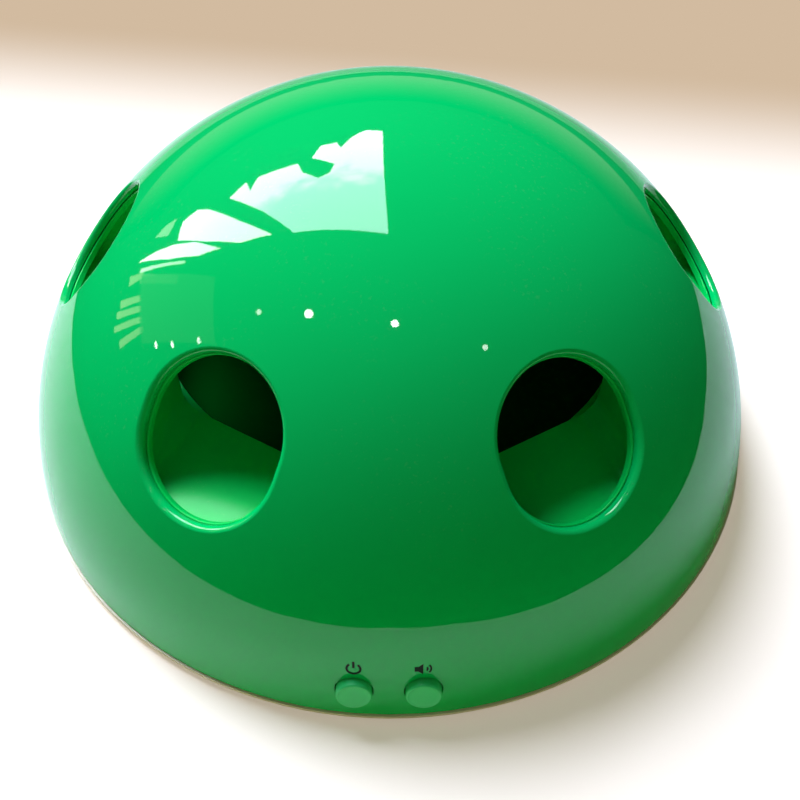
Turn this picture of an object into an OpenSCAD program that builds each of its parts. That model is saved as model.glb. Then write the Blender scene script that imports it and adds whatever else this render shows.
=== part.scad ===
// Cat toy: a dome with six paw holes. Inside, a turntable carries a plush mouse on a rack arm.
// The turntable stops at a hole and the arm pushes the mouse out through it and back.
// Millimetres. +Z is up, the origin is the middle of the footprint, the two buttons face -Y.

/* [Dome] */
// Radius of the dome at its rim
dome_r = 120; // [116:1:126]
// Height of the dome above its rim
dome_rise = 104; // [100:1:108]
// Wall of the dome
dome_wall = 2.6; // [2.2:0.1:3]
// Number of paw holes
paw_count = 6; // [6]
// Width of a paw hole
paw_w = 39; // [37:0.5:41]
// How much taller than wide a paw hole is, along the dome
paw_stretch = 4.2; // [2.2:0.2:5]
// Height of a paw hole's middle, as an angle up from the ball's centre
paw_rise = 41.6; // [40.4:0.2:42.4]
// Radius of the rounded lip of a paw hole
paw_lip = 1.6; // [1.2:0.1:2.3]

/* [Base] */
// How far the rubber feet stand below the base plate
foot_stand = 1; // [0.6:0.1:2]
// Thickness of the base plate
base_t = 2.2; // [1.8:0.1:2.8]
// How far the base plate's edge stands out past the dome's rim
base_out = 0.5; // [0.2:0.1:1.2]
// Diameter of a rubber foot
foot_d = 13; // [10:0.5:14]
// How far the ring of feet lies inside the dome's rim
foot_inset = 19; // [17:0.5:21]
// How far the ring of case screws lies inside the dome's rim
screw_inset = 13; // [12:0.5:14]
// Diameter of a case boss
boss_d = 8; // [7:0.5:9]
// Diameter of the case and deck screws
screw_d = 2.6; // [2:0.1:3]
// Diameter of the holes in the speaker grille
grille_d = 3; // [2:0.2:3.4]

/* [Chutes and deck] */
// Distance of a chute's inner edge from the turntable's axis
well_r = 71.5; // [70:0.5:74]
// Half the width of a chute at its inner edge
chute_half_in = 25.5; // [23:0.5:27]
// Wall of a chute
chute_wall = 1.8; // [1.4:0.1:2.2]
// How much smaller a chute's collar is than the hole in the dome, all round
collar_step = 0.5; // [0.4:0.1:1.2]
// Radius of the hollow corner between a chute's floor and walls
chute_cove = 6; // [4:0.5:8]
// Thickness of the deck that carries the chutes
deck_t = 2; // [1.6:0.1:2.4]
// Distance of the deck posts from the axis
post_ring_r = 88; // [85:0.5:91]
// Diameter of a deck post
post_d = 8; // [7:0.5:9]

/* [Buttons] */
// Diameter of a button
button_d = 9.5; // [8:0.5:11]
// How far a button stands out of the dome
button_out = 1.8; // [1.4:0.1:2.4]
// Distance between the two buttons
button_gap = 18; // [16:0.5:20]
// Height of the buttons, as an angle up from the ball's centre
button_rise = 13; // [12.5:0.25:14]
// Travel of a button
button_travel = 1.2; // [0.8:0.1:1.3]

/* [Turntable drive] */
// Diameter of the steel spindle
spindle_d = 5; // [4:0.5:6]
// Radius of the turntable
table_r = 72; // [68:1:76]
// Thickness of the turntable
table_t = 2.5; // [2:0.1:3]
// Teeth of the gear under the turntable
ring_teeth = 48; // [44:1:50]
// Module of the turntable's gear and the rack
coarse_mod = 1.25; // [1.25]
// Teeth of the small wheel of the idler
idler_small_teeth = 12; // [12:1:13]
// Teeth of the large wheel of the idler
idler_large_teeth = 40; // [38:1:42]
// Module of the gears next to the motors
fine_mod = 0.8; // [0.8]
// Teeth of a motor's pinion
motor_teeth = 10; // [10]
// Diameter of the flat motor that turns the table
flat_motor_d = 24.4; // [23:0.2:25]
// Height of the flat motor
flat_motor_h = 12.3; // [11.5:0.1:12.6]

/* [Mouse launcher] */
// Azimuth of the hole that the mouse faces at rest
launch_az = 60; // [60]
// How far the mouse's nose comes out past the dome
peek = 34; // [28:1:36]
// Length of the mouse from nose to rump
mouse_l = 46; // [42:1:47]
// Diameter of the mouse at its fattest
mouse_d = 27; // [24:0.5:27.5]
// Width of the rack arm
arm_w = 6; // [5:0.25:6.5]
// Height of the rack arm
arm_h = 8; // [7:0.25:8.5]
// Teeth of the wheel that drives the rack
rack_wheel_teeth = 16; // [16]
// Teeth of the wheel next to the launcher's motor
launch_teeth = 34; // [33:1:35]
// Wall of the launcher's frame
cheek_t = 2; // [1.6:0.1:2.2]

/* [Power] */
// Diameter of a cell
cell_d = 14.5; // [14:0.1:14.5]
// Length of a cell
cell_l = 50.5; // [49.5:0.5:51]
// Number of cells
cell_count = 3; // [3]
// Wall of the battery box
box_wall = 1.5; // [1.2:0.1:1.6]
// Diameter of the speaker
speaker_d = 40; // [36:1:42]

/* [Hidden] */

$fn = 96;
eps = 0.01;
// Gap between neighbours that don't touch, the gap of a sliding or turning fit, and a seat's gap
clear = 0.3;
fit_gap = 0.06;
seat_gap = 0.1;

green = [0.0, 0.70, 0.34];
inner_green = [0.0, 0.62, 0.30];
cream = [0.87, 0.84, 0.76];
black = [0.09, 0.09, 0.10];
grey = [0.55, 0.56, 0.58];
steel = [0.75, 0.76, 0.78];
white = [0.93, 0.93, 0.90];
copper = [0.80, 0.50, 0.25];
board_green = [0.05, 0.30, 0.14];
fur = [0.52, 0.50, 0.49];
pink = [0.86, 0.60, 0.60];

// The dome is a cap of one ball
rim_z = foot_stand + base_t;
ball_drop = (dome_r * dome_r - dome_rise * dome_rise) / (2 * dome_rise);
ball_r = dome_rise + ball_drop;
ball_z = rim_z - ball_drop;
ball_in = ball_r - dome_wall;
function reach(z, radius) = sqrt(radius * radius - (z - ball_z) * (z - ball_z));
function roof(r, radius) = ball_z + sqrt(radius * radius - r * r);
dome_in_rim = reach(rim_z, ball_in);

// Paw holes: two half rounds, turned apart along the dome by this angle each way
paw_turn = asin(paw_stretch / 2 / ball_r);
paw_step = 360 / paw_count;
// A chute's collar lies just inside the dome, and its hole is a step smaller
collar_r = ball_in - clear;
collar_half = paw_w / 2 - collar_step;
collar_low_w = sqrt((collar_r - chute_wall) * (collar_r - chute_wall) - collar_half * collar_half);
sill = 0.3;
floor_z = ball_z + collar_low_w * sin(paw_rise - paw_turn) - collar_half * cos(paw_rise - paw_turn) - sill;
deck_top = floor_z - chute_wall;
deck_z = deck_top - deck_t;
collar_d = paw_w + 11;
chute_out = reach(floor_z, collar_r);
chute_half_out = collar_half + 0.3;
// How much a chute's wall turns away from its axis
chute_flare = atan((chute_half_in - chute_half_out) / (chute_out - well_r));
peg_d = 3;
peg_r = 86;
peg_y = 10;

// Base
base_r = dome_r + base_out;
// The shadow line between the dome's rim and the base's edge
rim_line_h = 0.35;
rim_line_in = 1;
edge_round = 0.8;
locating_t = 1.8;
locating_h = 2.5;
locating_r = dome_in_rim - 0.8;
screw_ring_r = dome_r - screw_inset;
foot_ring_r = dome_r - foot_inset;
deck_r = screw_ring_r - boss_d / 2 - clear;
foot_sink = 0.4;
pillar_h = 4;
pillar_top = rim_z + pillar_h;
head_d = screw_d * 2;
head_h = screw_d * 0.7;
head_z = foot_stand + 1.2;
screw_bite = 11;
gusset_t = 1.6;
motor_ring_t = 1.5;

// Buttons: both point the same way, square to the dome between them
face_w = sqrt(ball_r * ball_r - button_gap * button_gap / 4);
flange_d = button_d + 3;
flange_reach = button_gap / 2 + flange_d / 2;
flange_w = sqrt(ball_in * ball_in - flange_reach * flange_reach) - 0.4;
flange_t = 1.2;
stem_d = 4;
plunger_d = 3.4;
case_side = 6.2;
case_h = 3.5;
plunger_w = flange_w - flange_t - 3.4;
case_w = plunger_w - button_travel - 0.3;
plunger_l = 2.6;
bore_l = plunger_l + 0.2;
button_board_w = case_w - case_h;
button_board_t = 1.2;
button_board_x = 36;
button_board_y = 11;
board_grip = 2;

// Turntable drive, from the base up
spindle_r = spindle_d / 2;
hub_r = spindle_r + 3.5;
column_r = hub_r;
platform_r = 15.5;
platform_t = 1.5;
slip_board_t = 1.2;
slip_board_z = 12;
column_top = slip_board_z + slip_board_t;
washer_t = 0.7;
hub_z = column_top + washer_t + seat_gap;
table_gear_z = 21;
table_gear_w = 4;
table_z = 27;
table_top = table_z + table_t;
slip_bore_r = column_r + clear;
track_t = 0.15;
track_w = 1.2;
tracks = [10.2, 12.4, 14.6];
ring_pitch_r = coarse_mod * ring_teeth / 2;
small_pitch_r = coarse_mod * idler_small_teeth / 2;
large_pitch_r = fine_mod * idler_large_teeth / 2;
pinion_pitch_r = fine_mod * motor_teeth / 2;
idler_az = 200;
idler_r = ring_pitch_r + small_pitch_r;
idler_x = idler_r * cos(idler_az);
idler_y = idler_r * sin(idler_az);
motor_az = 235;
motor_x = idler_x + (large_pitch_r + pinion_pitch_r) * cos(motor_az);
motor_y = idler_y + (large_pitch_r + pinion_pitch_r) * sin(motor_az);
idler_pin_d = 3;
idler_boss_r = 4;
large_z = rim_z + flat_motor_h + 0.9;
large_w = 2.5;
idler_top = table_gear_z + table_gear_w + 0.6;
motor_shaft_r = 1;
shaft_seat = 2;

// Gear teeth
pressure = 25;
tooth_out = 0.85;
tooth_in = 1.2;
tooth_play = 0.25;
tooth_steps = 3;

// Mouse and launcher, along +X before they are turned to launch_az
mouse_z = floor_z + 1 + mouse_d / 2;
nose_x = well_r - 4;
rump_x = nose_x - mouse_l;
launch_travel = reach(mouse_z, ball_r) + peek - nose_x;
arm_z = mouse_z - arm_h / 2;
gear_x = 8;
rack_pitch_z = arm_z - tooth_in * coarse_mod;
rack_pitch_r = coarse_mod * rack_wheel_teeth / 2;
gear_z = rack_pitch_z - rack_pitch_r;
launch_pitch_r = fine_mod * launch_teeth / 2;
// How far the arm reaches into the mouse
arm_in = 8;
rack_teeth = ceil(launch_travel / (PI * coarse_mod)) + 2;
arm_back = gear_x - PI * coarse_mod * (rack_teeth - 0.5);
cheek_y = arm_w / 2 + clear;
rack_w = 3.6;
shoulder_gap = 0.4;
ledge_t = 1.6;
guide_front = rump_x - 3.5;
guide_back = gear_x - 16;
guide_top = mouse_z + arm_h / 2;
launch_w = 3;
launch_y = cheek_y + cheek_t + 0.5;
launch_axle_d = 3;
can_x = 20;
can_z = 15;
can_l = 25;
can_drop = 6;
can_away = sqrt(pow(launch_pitch_r + pinion_pitch_r, 2) - can_drop * can_drop);
launch_motor_x = gear_x - can_away;
launch_motor_z = gear_z - can_drop;
can_y = launch_y + launch_w + 0.8;
clip_t = 1.2;
clip_w = 8;
foot_plate_t = 2;
launch_hub_r = 2.6;
frame_half = cheek_y + cheek_t;
clip_half = can_x / 2 + seat_gap + clip_t;
clip_mid_y = can_y + can_l / 2;
// Where small screws hold the frame's foot and the motor's strap, with the thickness under each head
mount_spots = [[guide_front - 3, -frame_half - 2.6, foot_plate_t], [guide_back - 1.4, -frame_half - 2.6, foot_plate_t],
    [launch_motor_x - clip_half - 2.6, clip_mid_y, clip_t], [launch_motor_x + clip_half + 2.6, clip_mid_y, clip_t]];

// Power
cell_pitch = cell_d + 0.7;
box_in_x = cell_l / 2 + 1.9;
box_near = 36;
box_far = box_near + cell_count * cell_pitch;
cell_z = rim_z + 0.5 + cell_d / 2;
box_roof = cell_z + cell_d / 2 + clear;
door_gap = 0.35;
hatch_x = box_in_x - 0.5;
hatch_near = box_near + 0.5;
hatch_far = box_far - 0.5;
tab_r = 5;
pad_r = tab_r + 2;
tab_y = box_near - box_wall - clear - pad_r;
pad_t = 2.2;
door_screw_d = 2.4;
lug_x = 16;
lug_w = 8;
lug_t = 1.2;
lug_reach = 2.2;
speaker_x = 70;
speaker_h = 9;
speaker_z = rim_z + seat_gap;

// Small screws for the boards and for what stands on the turntable
small_d = 2;
small_head_d = 3.8;
small_head_h = 1.2;

// Boards
main_x = 52;
main_y = 28;
main_mid_y = -64;
main_z = 9;
board_t = 1.6;
standoff_d = 5;

// A place on the ball: +Z points out of it and +X points down along it
module on_ball(azimuth, rise) {
    translate([0, 0, ball_z]) rotate([0, 90 - rise, azimuth]) children();
}
// Six times round the axis, starting at an azimuth
module around(count, start) {
    for (k = [0 : count - 1]) rotate([0, 0, start + k * 360 / count]) children();
}
module tube(r_out, r_in, h) {
    difference() {
        cylinder(r = r_out, h = h);
        translate([0, 0, -1]) cylinder(r = r_in, h = h + 2);
    }
}
module centred_box(size, z) {
    translate([-size[0] / 2, -size[1] / 2, z]) cube(size);
}
// A bar with a round end at each side of the middle
module slot_2d(length, width) {
    square([length - width, width], center = true);
    for (s = [-1, 1]) translate([s * (length - width) / 2, 0]) circle(d = width);
}
module rounded_square(size, r) {
    square([size[0] - 2 * r, size[1]], center = true);
    square([size[0], size[1] - 2 * r], center = true);
    for (x = [-1, 1], y = [-1, 1]) translate([x * (size[0] / 2 - r), y * (size[1] / 2 - r)]) circle(r = r);
}

// Half section of a hole through a ball's skin: radius q against the distance w from the ball's centre.
// The lip is a circle that touches both the bore and the skin.
module paw_section(half, skin, lip, start) {
    lip_q = half + lip;
    lip_w = sqrt((skin - lip) * (skin - lip) - lip_q * lip_q);
    past = 1.05;
    difference() {
        polygon([[0, start], [half, start], [half, lip_w], [lip_q, lip_w],
            [lip_q * past, lip_w * past], [0, lip_w * past]]);
        translate([lip_q, lip_w]) circle(r = lip);
    }
}
// The hole itself: half a round at each end, and a stretch between that turns about the ball's centre
module paw_cut(half, skin, lip, start) {
    for (s = [-1, 1]) rotate([0, s * paw_turn, 0]) rotate([0, 0, -90 * s])
        rotate_extrude(angle = 180) paw_section(half, skin, lip, start);
    rotate([0, 0, -90]) rotate([0, -90, 0]) rotate([0, 0, -paw_turn])
        rotate_extrude(angle = 2 * paw_turn) {
            mirror([1, -1]) paw_section(half, skin, lip, start);
            mirror([0, 1]) mirror([1, -1]) paw_section(half, skin, lip, start);
        }
}

// Involute gears
function involute(a) = tan(a) * 180 / PI - a;
function base_circle(n, m) = m * n / 2 * cos(pressure);
function half_tooth(n, m, r) = 90 / n - tooth_play / (m * n) * 180 / PI + involute(pressure)
    - involute(acos(min(1, base_circle(n, m) / r)));
function polar(r, a) = [r * cos(a), r * sin(a)];
function flank(n, m, side, a, low, high) = [for (i = [0 : tooth_steps - 1])
    let (r = low + (high - low) * (side < 0 ? i : tooth_steps - 1 - i) / (tooth_steps - 1))
        polar(r, a + side * half_tooth(n, m, r))];
function gear_points(n, m) = let (root = m * n / 2 - tooth_in * m, tip = m * n / 2 + tooth_out * m,
    base = base_circle(n, m), low = max(root, base))
    [for (k = [0 : n - 1]) let (a = k * 360 / n) each concat(
        root < base ? [polar(root, a - half_tooth(n, m, base))] : [],
        flank(n, m, -1, a, low, tip), flank(n, m, 1, a, low, tip),
        root < base ? [polar(root, a + half_tooth(n, m, base))] : [])];
module gear(n, m, h) {
    linear_extrude(h) polygon(gear_points(n, m));
}
function rack_points(n, m) = let (half = PI * m / 4 - tooth_play / 2, lean = tan(pressure)) concat(
    [for (k = [0 : n - 1]) let (c = -(k + 0.5) * PI * m) each [
        [c + half + tooth_in * m * lean, 0], [c + half - tooth_out * m * lean, -(tooth_in + tooth_out) * m],
        [c - half + tooth_out * m * lean, -(tooth_in + tooth_out) * m], [c - half - tooth_in * m * lean, 0]]]);

module dome_shell() {
    color(green) difference() {
        union() {
            difference() {
                translate([0, 0, ball_z]) sphere(r = ball_r, $fn = 180);
                translate([0, 0, ball_z]) sphere(r = ball_in, $fn = 180);
            }
            intersection() {
                translate([0, 0, ball_z]) sphere(r = ball_in + 1, $fn = 180);
                around(paw_count, 0) {
                    translate([screw_ring_r, 0, pillar_top + seat_gap]) cylinder(d = boss_d, h = deck_z - pillar_top);
                    translate([screw_ring_r, -gusset_t / 2, pillar_top + locating_h])
                        cube([dome_in_rim - screw_ring_r + 1, gusset_t, deck_z - pillar_top - locating_h]);
                }
            }
        }
        translate([0, 0, rim_z - 2 * ball_r]) cylinder(r = 2 * ball_r, h = 2 * ball_r);
        around(paw_count, 0) on_ball(0, paw_rise) paw_cut(paw_w / 2, ball_r, paw_lip, ball_in - 12);
        for (s = [-1, 1]) on_ball(-90, button_rise) translate([0, s * button_gap / 2, ball_in - 8])
            cylinder(d = button_d + 2 * clear, h = 20);
        around(paw_count, 0) translate([screw_ring_r, 0, rim_z])
            cylinder(d = screw_d + 2 * fit_gap, h = pillar_h + screw_bite + 3);
    }
}

module base_plate() {
    color(cream) difference() {
        union() {
            translate([0, 0, foot_stand]) rotate_extrude($fn = 180) {
                square([base_r - edge_round, base_t]);
                translate([0, edge_round]) square([base_r, base_t - edge_round]);
                translate([base_r - edge_round, edge_round]) circle(r = edge_round, $fn = 32);
            }
            translate([0, 0, rim_z - eps]) tube(locating_r, locating_r - locating_t, locating_h);
            around(paw_count, 0) translate([screw_ring_r, 0, rim_z - eps]) cylinder(d = boss_d + 1, h = pillar_h + eps);
            around(paw_count, paw_step / 2) translate([post_ring_r, 0, rim_z - eps])
                cylinder(d = post_d, h = deck_z - rim_z + eps);
            translate([0, 0, rim_z - eps]) cylinder(r = column_r, h = column_top - rim_z + eps);
            translate([0, 0, rim_z - eps]) tube(platform_r, platform_r - platform_t, slip_board_z - rim_z + eps);
            translate([idler_x, idler_y, rim_z - eps]) cylinder(r = idler_boss_r, h = large_z - rim_z - seat_gap);
            translate([motor_x, motor_y, rim_z - eps])
                tube(flat_motor_d / 2 + seat_gap + motor_ring_t, flat_motor_d / 2 + seat_gap, flat_motor_h / 2);
            translate([speaker_x, 0, rim_z - eps])
                tube(speaker_d / 2 + seat_gap + motor_ring_t, speaker_d / 2 + seat_gap, 4);
            for (x = [-1, 1], y = [-1, 1])
                translate([x * (main_x / 2 - 4), main_mid_y + y * (main_y / 2 - 4), rim_z - eps])
                    cylinder(d = standoff_d, h = main_z - rim_z + eps);
            for (s = [-1, 1]) translate([s * (button_board_x / 2 - board_grip / 2), 0, 0]) board_post();
            translate([0, tab_y, rim_z - eps]) {
                cylinder(r = pad_r, h = pad_t);
                cylinder(d = 8, h = 6);
            }
        }
        translate([0, 0, rim_z - rim_line_h]) tube(base_r + 1, dome_r - rim_line_in, rim_line_h + 1);
        around(paw_count, 0) translate([screw_ring_r, 0, foot_stand - 1]) {
            cylinder(d = head_d + 2 * clear, h = head_z + head_h - foot_stand + 1 + clear);
            cylinder(d = screw_d + 2 * fit_gap, h = 20);
        }
        around(paw_count, paw_step / 2) {
            translate([foot_ring_r, 0, foot_stand - 1]) cylinder(d = foot_d + 2 * seat_gap, h = 1 + foot_sink);
            translate([post_ring_r, 0, deck_z - screw_bite]) cylinder(d = screw_d + 2 * fit_gap, h = screw_bite + 1);
        }
        translate([0, 0, rim_z]) cylinder(r = spindle_r + fit_gap, h = 20);
        translate([idler_x, idler_y, rim_z]) cylinder(d = idler_pin_d + 2 * fit_gap, h = 20);
        translate([0, (hatch_near + hatch_far) / 2, 0]) linear_extrude(rim_z + 1)
            rounded_square([2 * hatch_x, hatch_far - hatch_near], 2);
        translate([0, tab_y, 0]) {
            linear_extrude(rim_z + seat_gap) {
                circle(r = tab_r);
                translate([-tab_r, 0]) square([2 * tab_r, hatch_near - tab_y + 1]);
            }
            cylinder(d = door_screw_d + 1.2, h = 8.4);
        }
        for (x = [-1, 1], y = [-1, 1])
            translate([x * (main_x / 2 - 4), main_mid_y + y * (main_y / 2 - 4), main_z - 4])
                cylinder(d = small_d + 2 * fit_gap, h = 5);
        translate([speaker_x, 0, 0]) grille();
        for (s = [-1, 1]) translate([s * (button_board_x / 2 - board_grip / 2), 0, 0]) board_groove();
    }
}
// Rings of round holes in front of the speaker
module grille() {
    grille_step = 5.4;
    translate([0, 0, -1]) cylinder(d = grille_d, h = 10, $fn = 32);
    for (ring = [1 : 3]) around(6 * ring, 0) translate([ring * grille_step, 0, -1])
        cylinder(d = grille_d, h = rim_z + 2, $fn = 32);
}
// A post with a slanting groove that holds an end of the button board
module board_post() {
    post_x = 4;
    board_mid_r = button_board_w * cos(button_rise);
    translate([-post_x / 2, -board_mid_r - 3.5, rim_z - eps]) cube([post_x, 7, 8]);
}
module board_groove() {
    on_ball(-90, button_rise) translate([-20, -board_grip / 2 - 1.4, button_board_w - button_board_t - seat_gap])
        cube([20 + button_board_y / 2 + seat_gap, board_grip + 2.8, button_board_t + 2 * seat_gap]);
}

module deck_plate() {
    color(inner_green) difference() {
        translate([0, 0, deck_z]) tube(deck_r, well_r + 1, deck_t);
        around(paw_count, paw_step / 2) translate([post_ring_r, 0, deck_z - 1])
            cylinder(d = screw_d + 2 * fit_gap, h = deck_t + 2);
        around(paw_count, 0) for (s = [-1, 1]) translate([peg_r, s * peg_y, deck_z - 1])
            cylinder(d = peg_d + 2 * seat_gap, h = deck_t + 2);
    }
}

// The hollow corner on one side of a chute, let into its floor and wall
module cove_2d(side) {
    difference() {
        translate([side > 0 ? -chute_cove : -0.5, -0.5]) square(chute_cove + 0.5);
        translate([-side * chute_cove, chute_cove]) circle(r = chute_cove);
    }
}
// One chute: a floor, two walls that spread inwards, and a collar behind the hole in the dome
module chute(azimuth) {
    wall_l = (chute_out - well_r) / cos(chute_flare) + 8;
    color(inner_green) rotate([0, 0, azimuth]) difference() {
        union() {
            intersection() {
                translate([0, 0, ball_z]) sphere(r = collar_r - chute_wall / 2, $fn = 180);
                union() {
                    translate([0, 0, deck_top]) linear_extrude(chute_wall) chute_sector(chute_wall, -1);
                    for (s = [-1, 1]) translate([peg_r, s * peg_y, deck_z + 0.2])
                        cylinder(d = peg_d, h = deck_t);
                    translate([0, 0, deck_top]) linear_extrude(60) difference() {
                        chute_sector(chute_wall, -1);
                        chute_sector(0, 1);
                    }
                    for (s = [-1, 1]) intersection() {
                        translate([well_r, s * chute_half_in, floor_z]) rotate([0, 0, -s * chute_flare])
                            translate([-8, 0, 0]) rotate([90, 0, 90]) linear_extrude(wall_l + 10) cove_2d(s);
                        translate([well_r, -60, floor_z - 1]) cube([60, 120, 30]);
                    }
                }
            }
            intersection() {
                on_ball(0, paw_rise) rotate_extrude($fn = 180) collar_2d();
                translate([0, -ball_r, deck_top]) cube(2 * ball_r);
            }
        }
        on_ball(0, paw_rise) paw_cut(collar_half, collar_r, collar_step - 0.05, collar_r - 3.5);
    }
}
// The plan of a chute, widened each way
module chute_sector(wide, past) {
    slope = (chute_half_in - chute_half_out) / (chute_out - well_r);
    near = well_r - (past > 0 ? 5 : 0);
    far = chute_out + 6;
    near_half = chute_half_in + wide + slope * (well_r - near);
    far_half = chute_half_out + wide - slope * 6;
    polygon([[near, -near_half], [far, -far_half], [far, far_half], [near, near_half]]);
}
module collar_2d() {
    intersection() {
        difference() {
            circle(r = collar_r, $fn = 180);
            circle(r = collar_r - chute_wall, $fn = 180);
        }
        square([collar_d / 2, 2 * ball_r]);
    }
}

module rubber_feet() {
    color(black) around(paw_count, paw_step / 2) translate([foot_ring_r, 0, 0])
        rotate_extrude() {
            square([foot_d / 2 - 0.6, foot_stand + foot_sink]);
            translate([0, 0.6]) square([foot_d / 2, foot_stand + foot_sink - 0.6]);
            translate([foot_d / 2 - 0.6, 0.6]) circle(r = 0.6, $fn = 24);
        }
}
module screw(length, head_up) {
    mirror([0, 0, head_up ? 1 : 0]) difference() {
        union() {
            cylinder(d = screw_d, h = length);
            cylinder(d = head_d, h = head_h);
        }
        translate([-head_d, -0.3, -1]) cube([2 * head_d, 0.6, 1.5]);
        translate([-0.3, -head_d, -1]) cube([0.6, 2 * head_d, 1.5]);
    }
}
module case_screws() {
    color(steel) around(paw_count, 0) translate([screw_ring_r, 0, head_z])
        screw(pillar_top - head_z + screw_bite, false);
}
module deck_screws() {
    color(steel) around(paw_count, paw_step / 2) translate([post_ring_r, 0, deck_top + head_h])
        screw(head_h + deck_t + screw_bite - 1, true);
}

module small_screw(length) {
    difference() {
        union() {
            translate([0, 0, -length]) cylinder(d = small_d, h = length + small_head_h);
            cylinder(d = small_head_d, h = small_head_h);
        }
        translate([-3, -0.25, small_head_h - 0.6]) cube([6, 0.5, 2]);
    }
}
module board_screws() {
    color(steel) for (x = [-1, 1], y = [-1, 1])
        translate([x * (main_x / 2 - 4), main_mid_y + y * (main_y / 2 - 4), main_z + board_t])
            small_screw(board_t + 3.6);
}

module button(side) {
    top = face_w + button_out;
    color(green) on_ball(-90, button_rise) translate([0, side * button_gap / 2, 0]) {
        rotate_extrude() {
            translate([0, flange_w - eps]) square([button_d / 2, top - 0.7 - flange_w + eps]);
            translate([0, flange_w]) square([button_d / 2 - 0.7, top - flange_w]);
            translate([button_d / 2 - 0.7, top - 0.7]) circle(r = 0.7, $fn = 32);
            translate([0, flange_w - flange_t]) square([flange_d / 2, flange_t]);
            translate([0, plunger_w + seat_gap]) square([stem_d / 2, flange_w - plunger_w - seat_gap]);
        }
    }
}
module plunger(side) {
    color(black) on_ball(-90, button_rise) translate([0, side * button_gap / 2, plunger_w - plunger_l])
        cylinder(d = plunger_d, h = plunger_l);
}
module tact_switch(side) {
    color(grey) on_ball(-90, button_rise) translate([0, side * button_gap / 2, 0]) difference() {
        centred_box([case_side, case_side, case_h], case_w - case_h);
        translate([0, 0, plunger_w - bore_l - button_travel]) cylinder(d = plunger_d + 2 * fit_gap, h = 10);
    }
}
module button_board() {
    color(board_green) on_ball(-90, button_rise)
        centred_box([button_board_y, button_board_x, button_board_t], button_board_w - button_board_t);
}

module main_board() {
    color(board_green) difference() {
        translate([0, main_mid_y, 0]) centred_box([main_x, main_y, board_t], main_z);
        for (x = [-1, 1], y = [-1, 1])
            translate([x * (main_x / 2 - 4), main_mid_y + y * (main_y / 2 - 4), main_z - 1])
                cylinder(d = small_d + 2 * fit_gap, h = 4);
    }
}
module board_chips() {
    top = main_z + board_t;
    color(black) {
        translate([-6, main_mid_y, 0]) centred_box([12, 9, 2], top);
        translate([9, main_mid_y - 5, top]) cylinder(d = 6, h = 8);
        translate([9, main_mid_y + 5, top]) cylinder(d = 5, h = 6);
        translate([17, main_mid_y + 1, 0]) centred_box([4, 12, 5], top);
        translate([-17, main_mid_y - 2, 0]) centred_box([5, 5, 3], top);
    }
}

module battery_box() {
    length = box_far - box_near;
    mid_y = (box_near + box_far) / 2;
    color(cream) difference() {
        translate([0, mid_y, 0])
            centred_box([2 * (box_in_x + box_wall), length + 2 * box_wall, box_roof + box_wall - rim_z], rim_z);
        translate([0, mid_y, 0]) centred_box([2 * box_in_x, length, box_roof - rim_z + 1], rim_z - 1);
        for (s = [-1, 1]) translate([s * lug_x, box_far, 0])
            centred_box([lug_w + 1, 2 * box_wall + 2, lug_t + 1], rim_z - eps);
    }
}
module battery_door() {
    bottom = foot_stand;
    seat_far = hatch_far - door_gap;
    length = hatch_far - hatch_near - 2 * door_gap;
    color(cream) difference() {
        union() {
            translate([0, (hatch_near + hatch_far) / 2, bottom]) linear_extrude(base_t)
                rounded_square([2 * (hatch_x - door_gap), length], 2);
            translate([0, tab_y, bottom]) linear_extrude(base_t) {
                circle(r = tab_r - door_gap);
                translate([door_gap - tab_r, 0]) square([2 * (tab_r - door_gap), hatch_near - tab_y + 1]);
            }
            for (s = [-1, 1]) translate([s * lug_x - lug_w / 2, seat_far - 3, rim_z - eps]) {
                cube([lug_w, 3, 0.2 + lug_t]);
                translate([0, 0, 0.2]) cube([lug_w, 3 + door_gap + lug_reach, lug_t]);
            }
        }
        translate([0, tab_y, bottom - 1]) {
            cylinder(d = door_screw_d + 2 * fit_gap, h = 10);
            cylinder(d = 5, h = 2.2);
        }
        for (i = [0 : 4]) translate([-8, hatch_near + 8 + i * 3, bottom - 1]) cube([16, 1.2, 1.5]);
    }
}
module door_screw() {
    color(steel) translate([0, tab_y, foot_stand + 0.2]) difference() {
        union() {
            cylinder(d = door_screw_d, h = 7);
            cylinder(d = 4.6, h = 1);
        }
        translate([-3, -0.3, -1]) cube([6, 0.6, 1.5]);
    }
}
module cell(k) {
    flip = k % 2 == 0 ? 1 : -1;
    color(grey) translate([0, box_near + (k + 0.5) * cell_pitch, cell_z]) rotate([0, 90 * flip, 0]) rotate_extrude() {
        translate([0, -cell_l / 2]) square([cell_d / 2, cell_l - 1.2]);
        translate([0, cell_l / 2 - 1.2 - eps]) square([2.75, 1.2 + eps]);
    }
}
module battery_contacts() {
    color(steel) for (k = [0 : cell_count - 1], s = [-1, 1])
        translate([s * (box_in_x - 0.05), box_near + (k + 0.5) * cell_pitch, cell_z]) rotate([0, -90 * s, 0]) {
            translate([-4.5, -5, 0]) cube([9, 10, 0.4]);
            cylinder(r1 = 3.6, r2 = 2.4, h = box_in_x - 0.05 - cell_l / 2 - seat_gap);
        }
}
module speaker_frame() {
    r = speaker_d / 2;
    color(black) translate([speaker_x, 0, speaker_z]) rotate_extrude() {
        translate([r - 2.5, 0]) square([2.5, 1.6]);
        polygon([[r - 2, 1.4], [r - 1.2, 1.4], [r * 0.52, 5.4], [r * 0.52, 6.2], [r * 0.45, 6.2], [r * 0.45, 5.2]]);
        translate([0, 5.2]) square([r * 0.5, speaker_h - 5.2]);
    }
}
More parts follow.
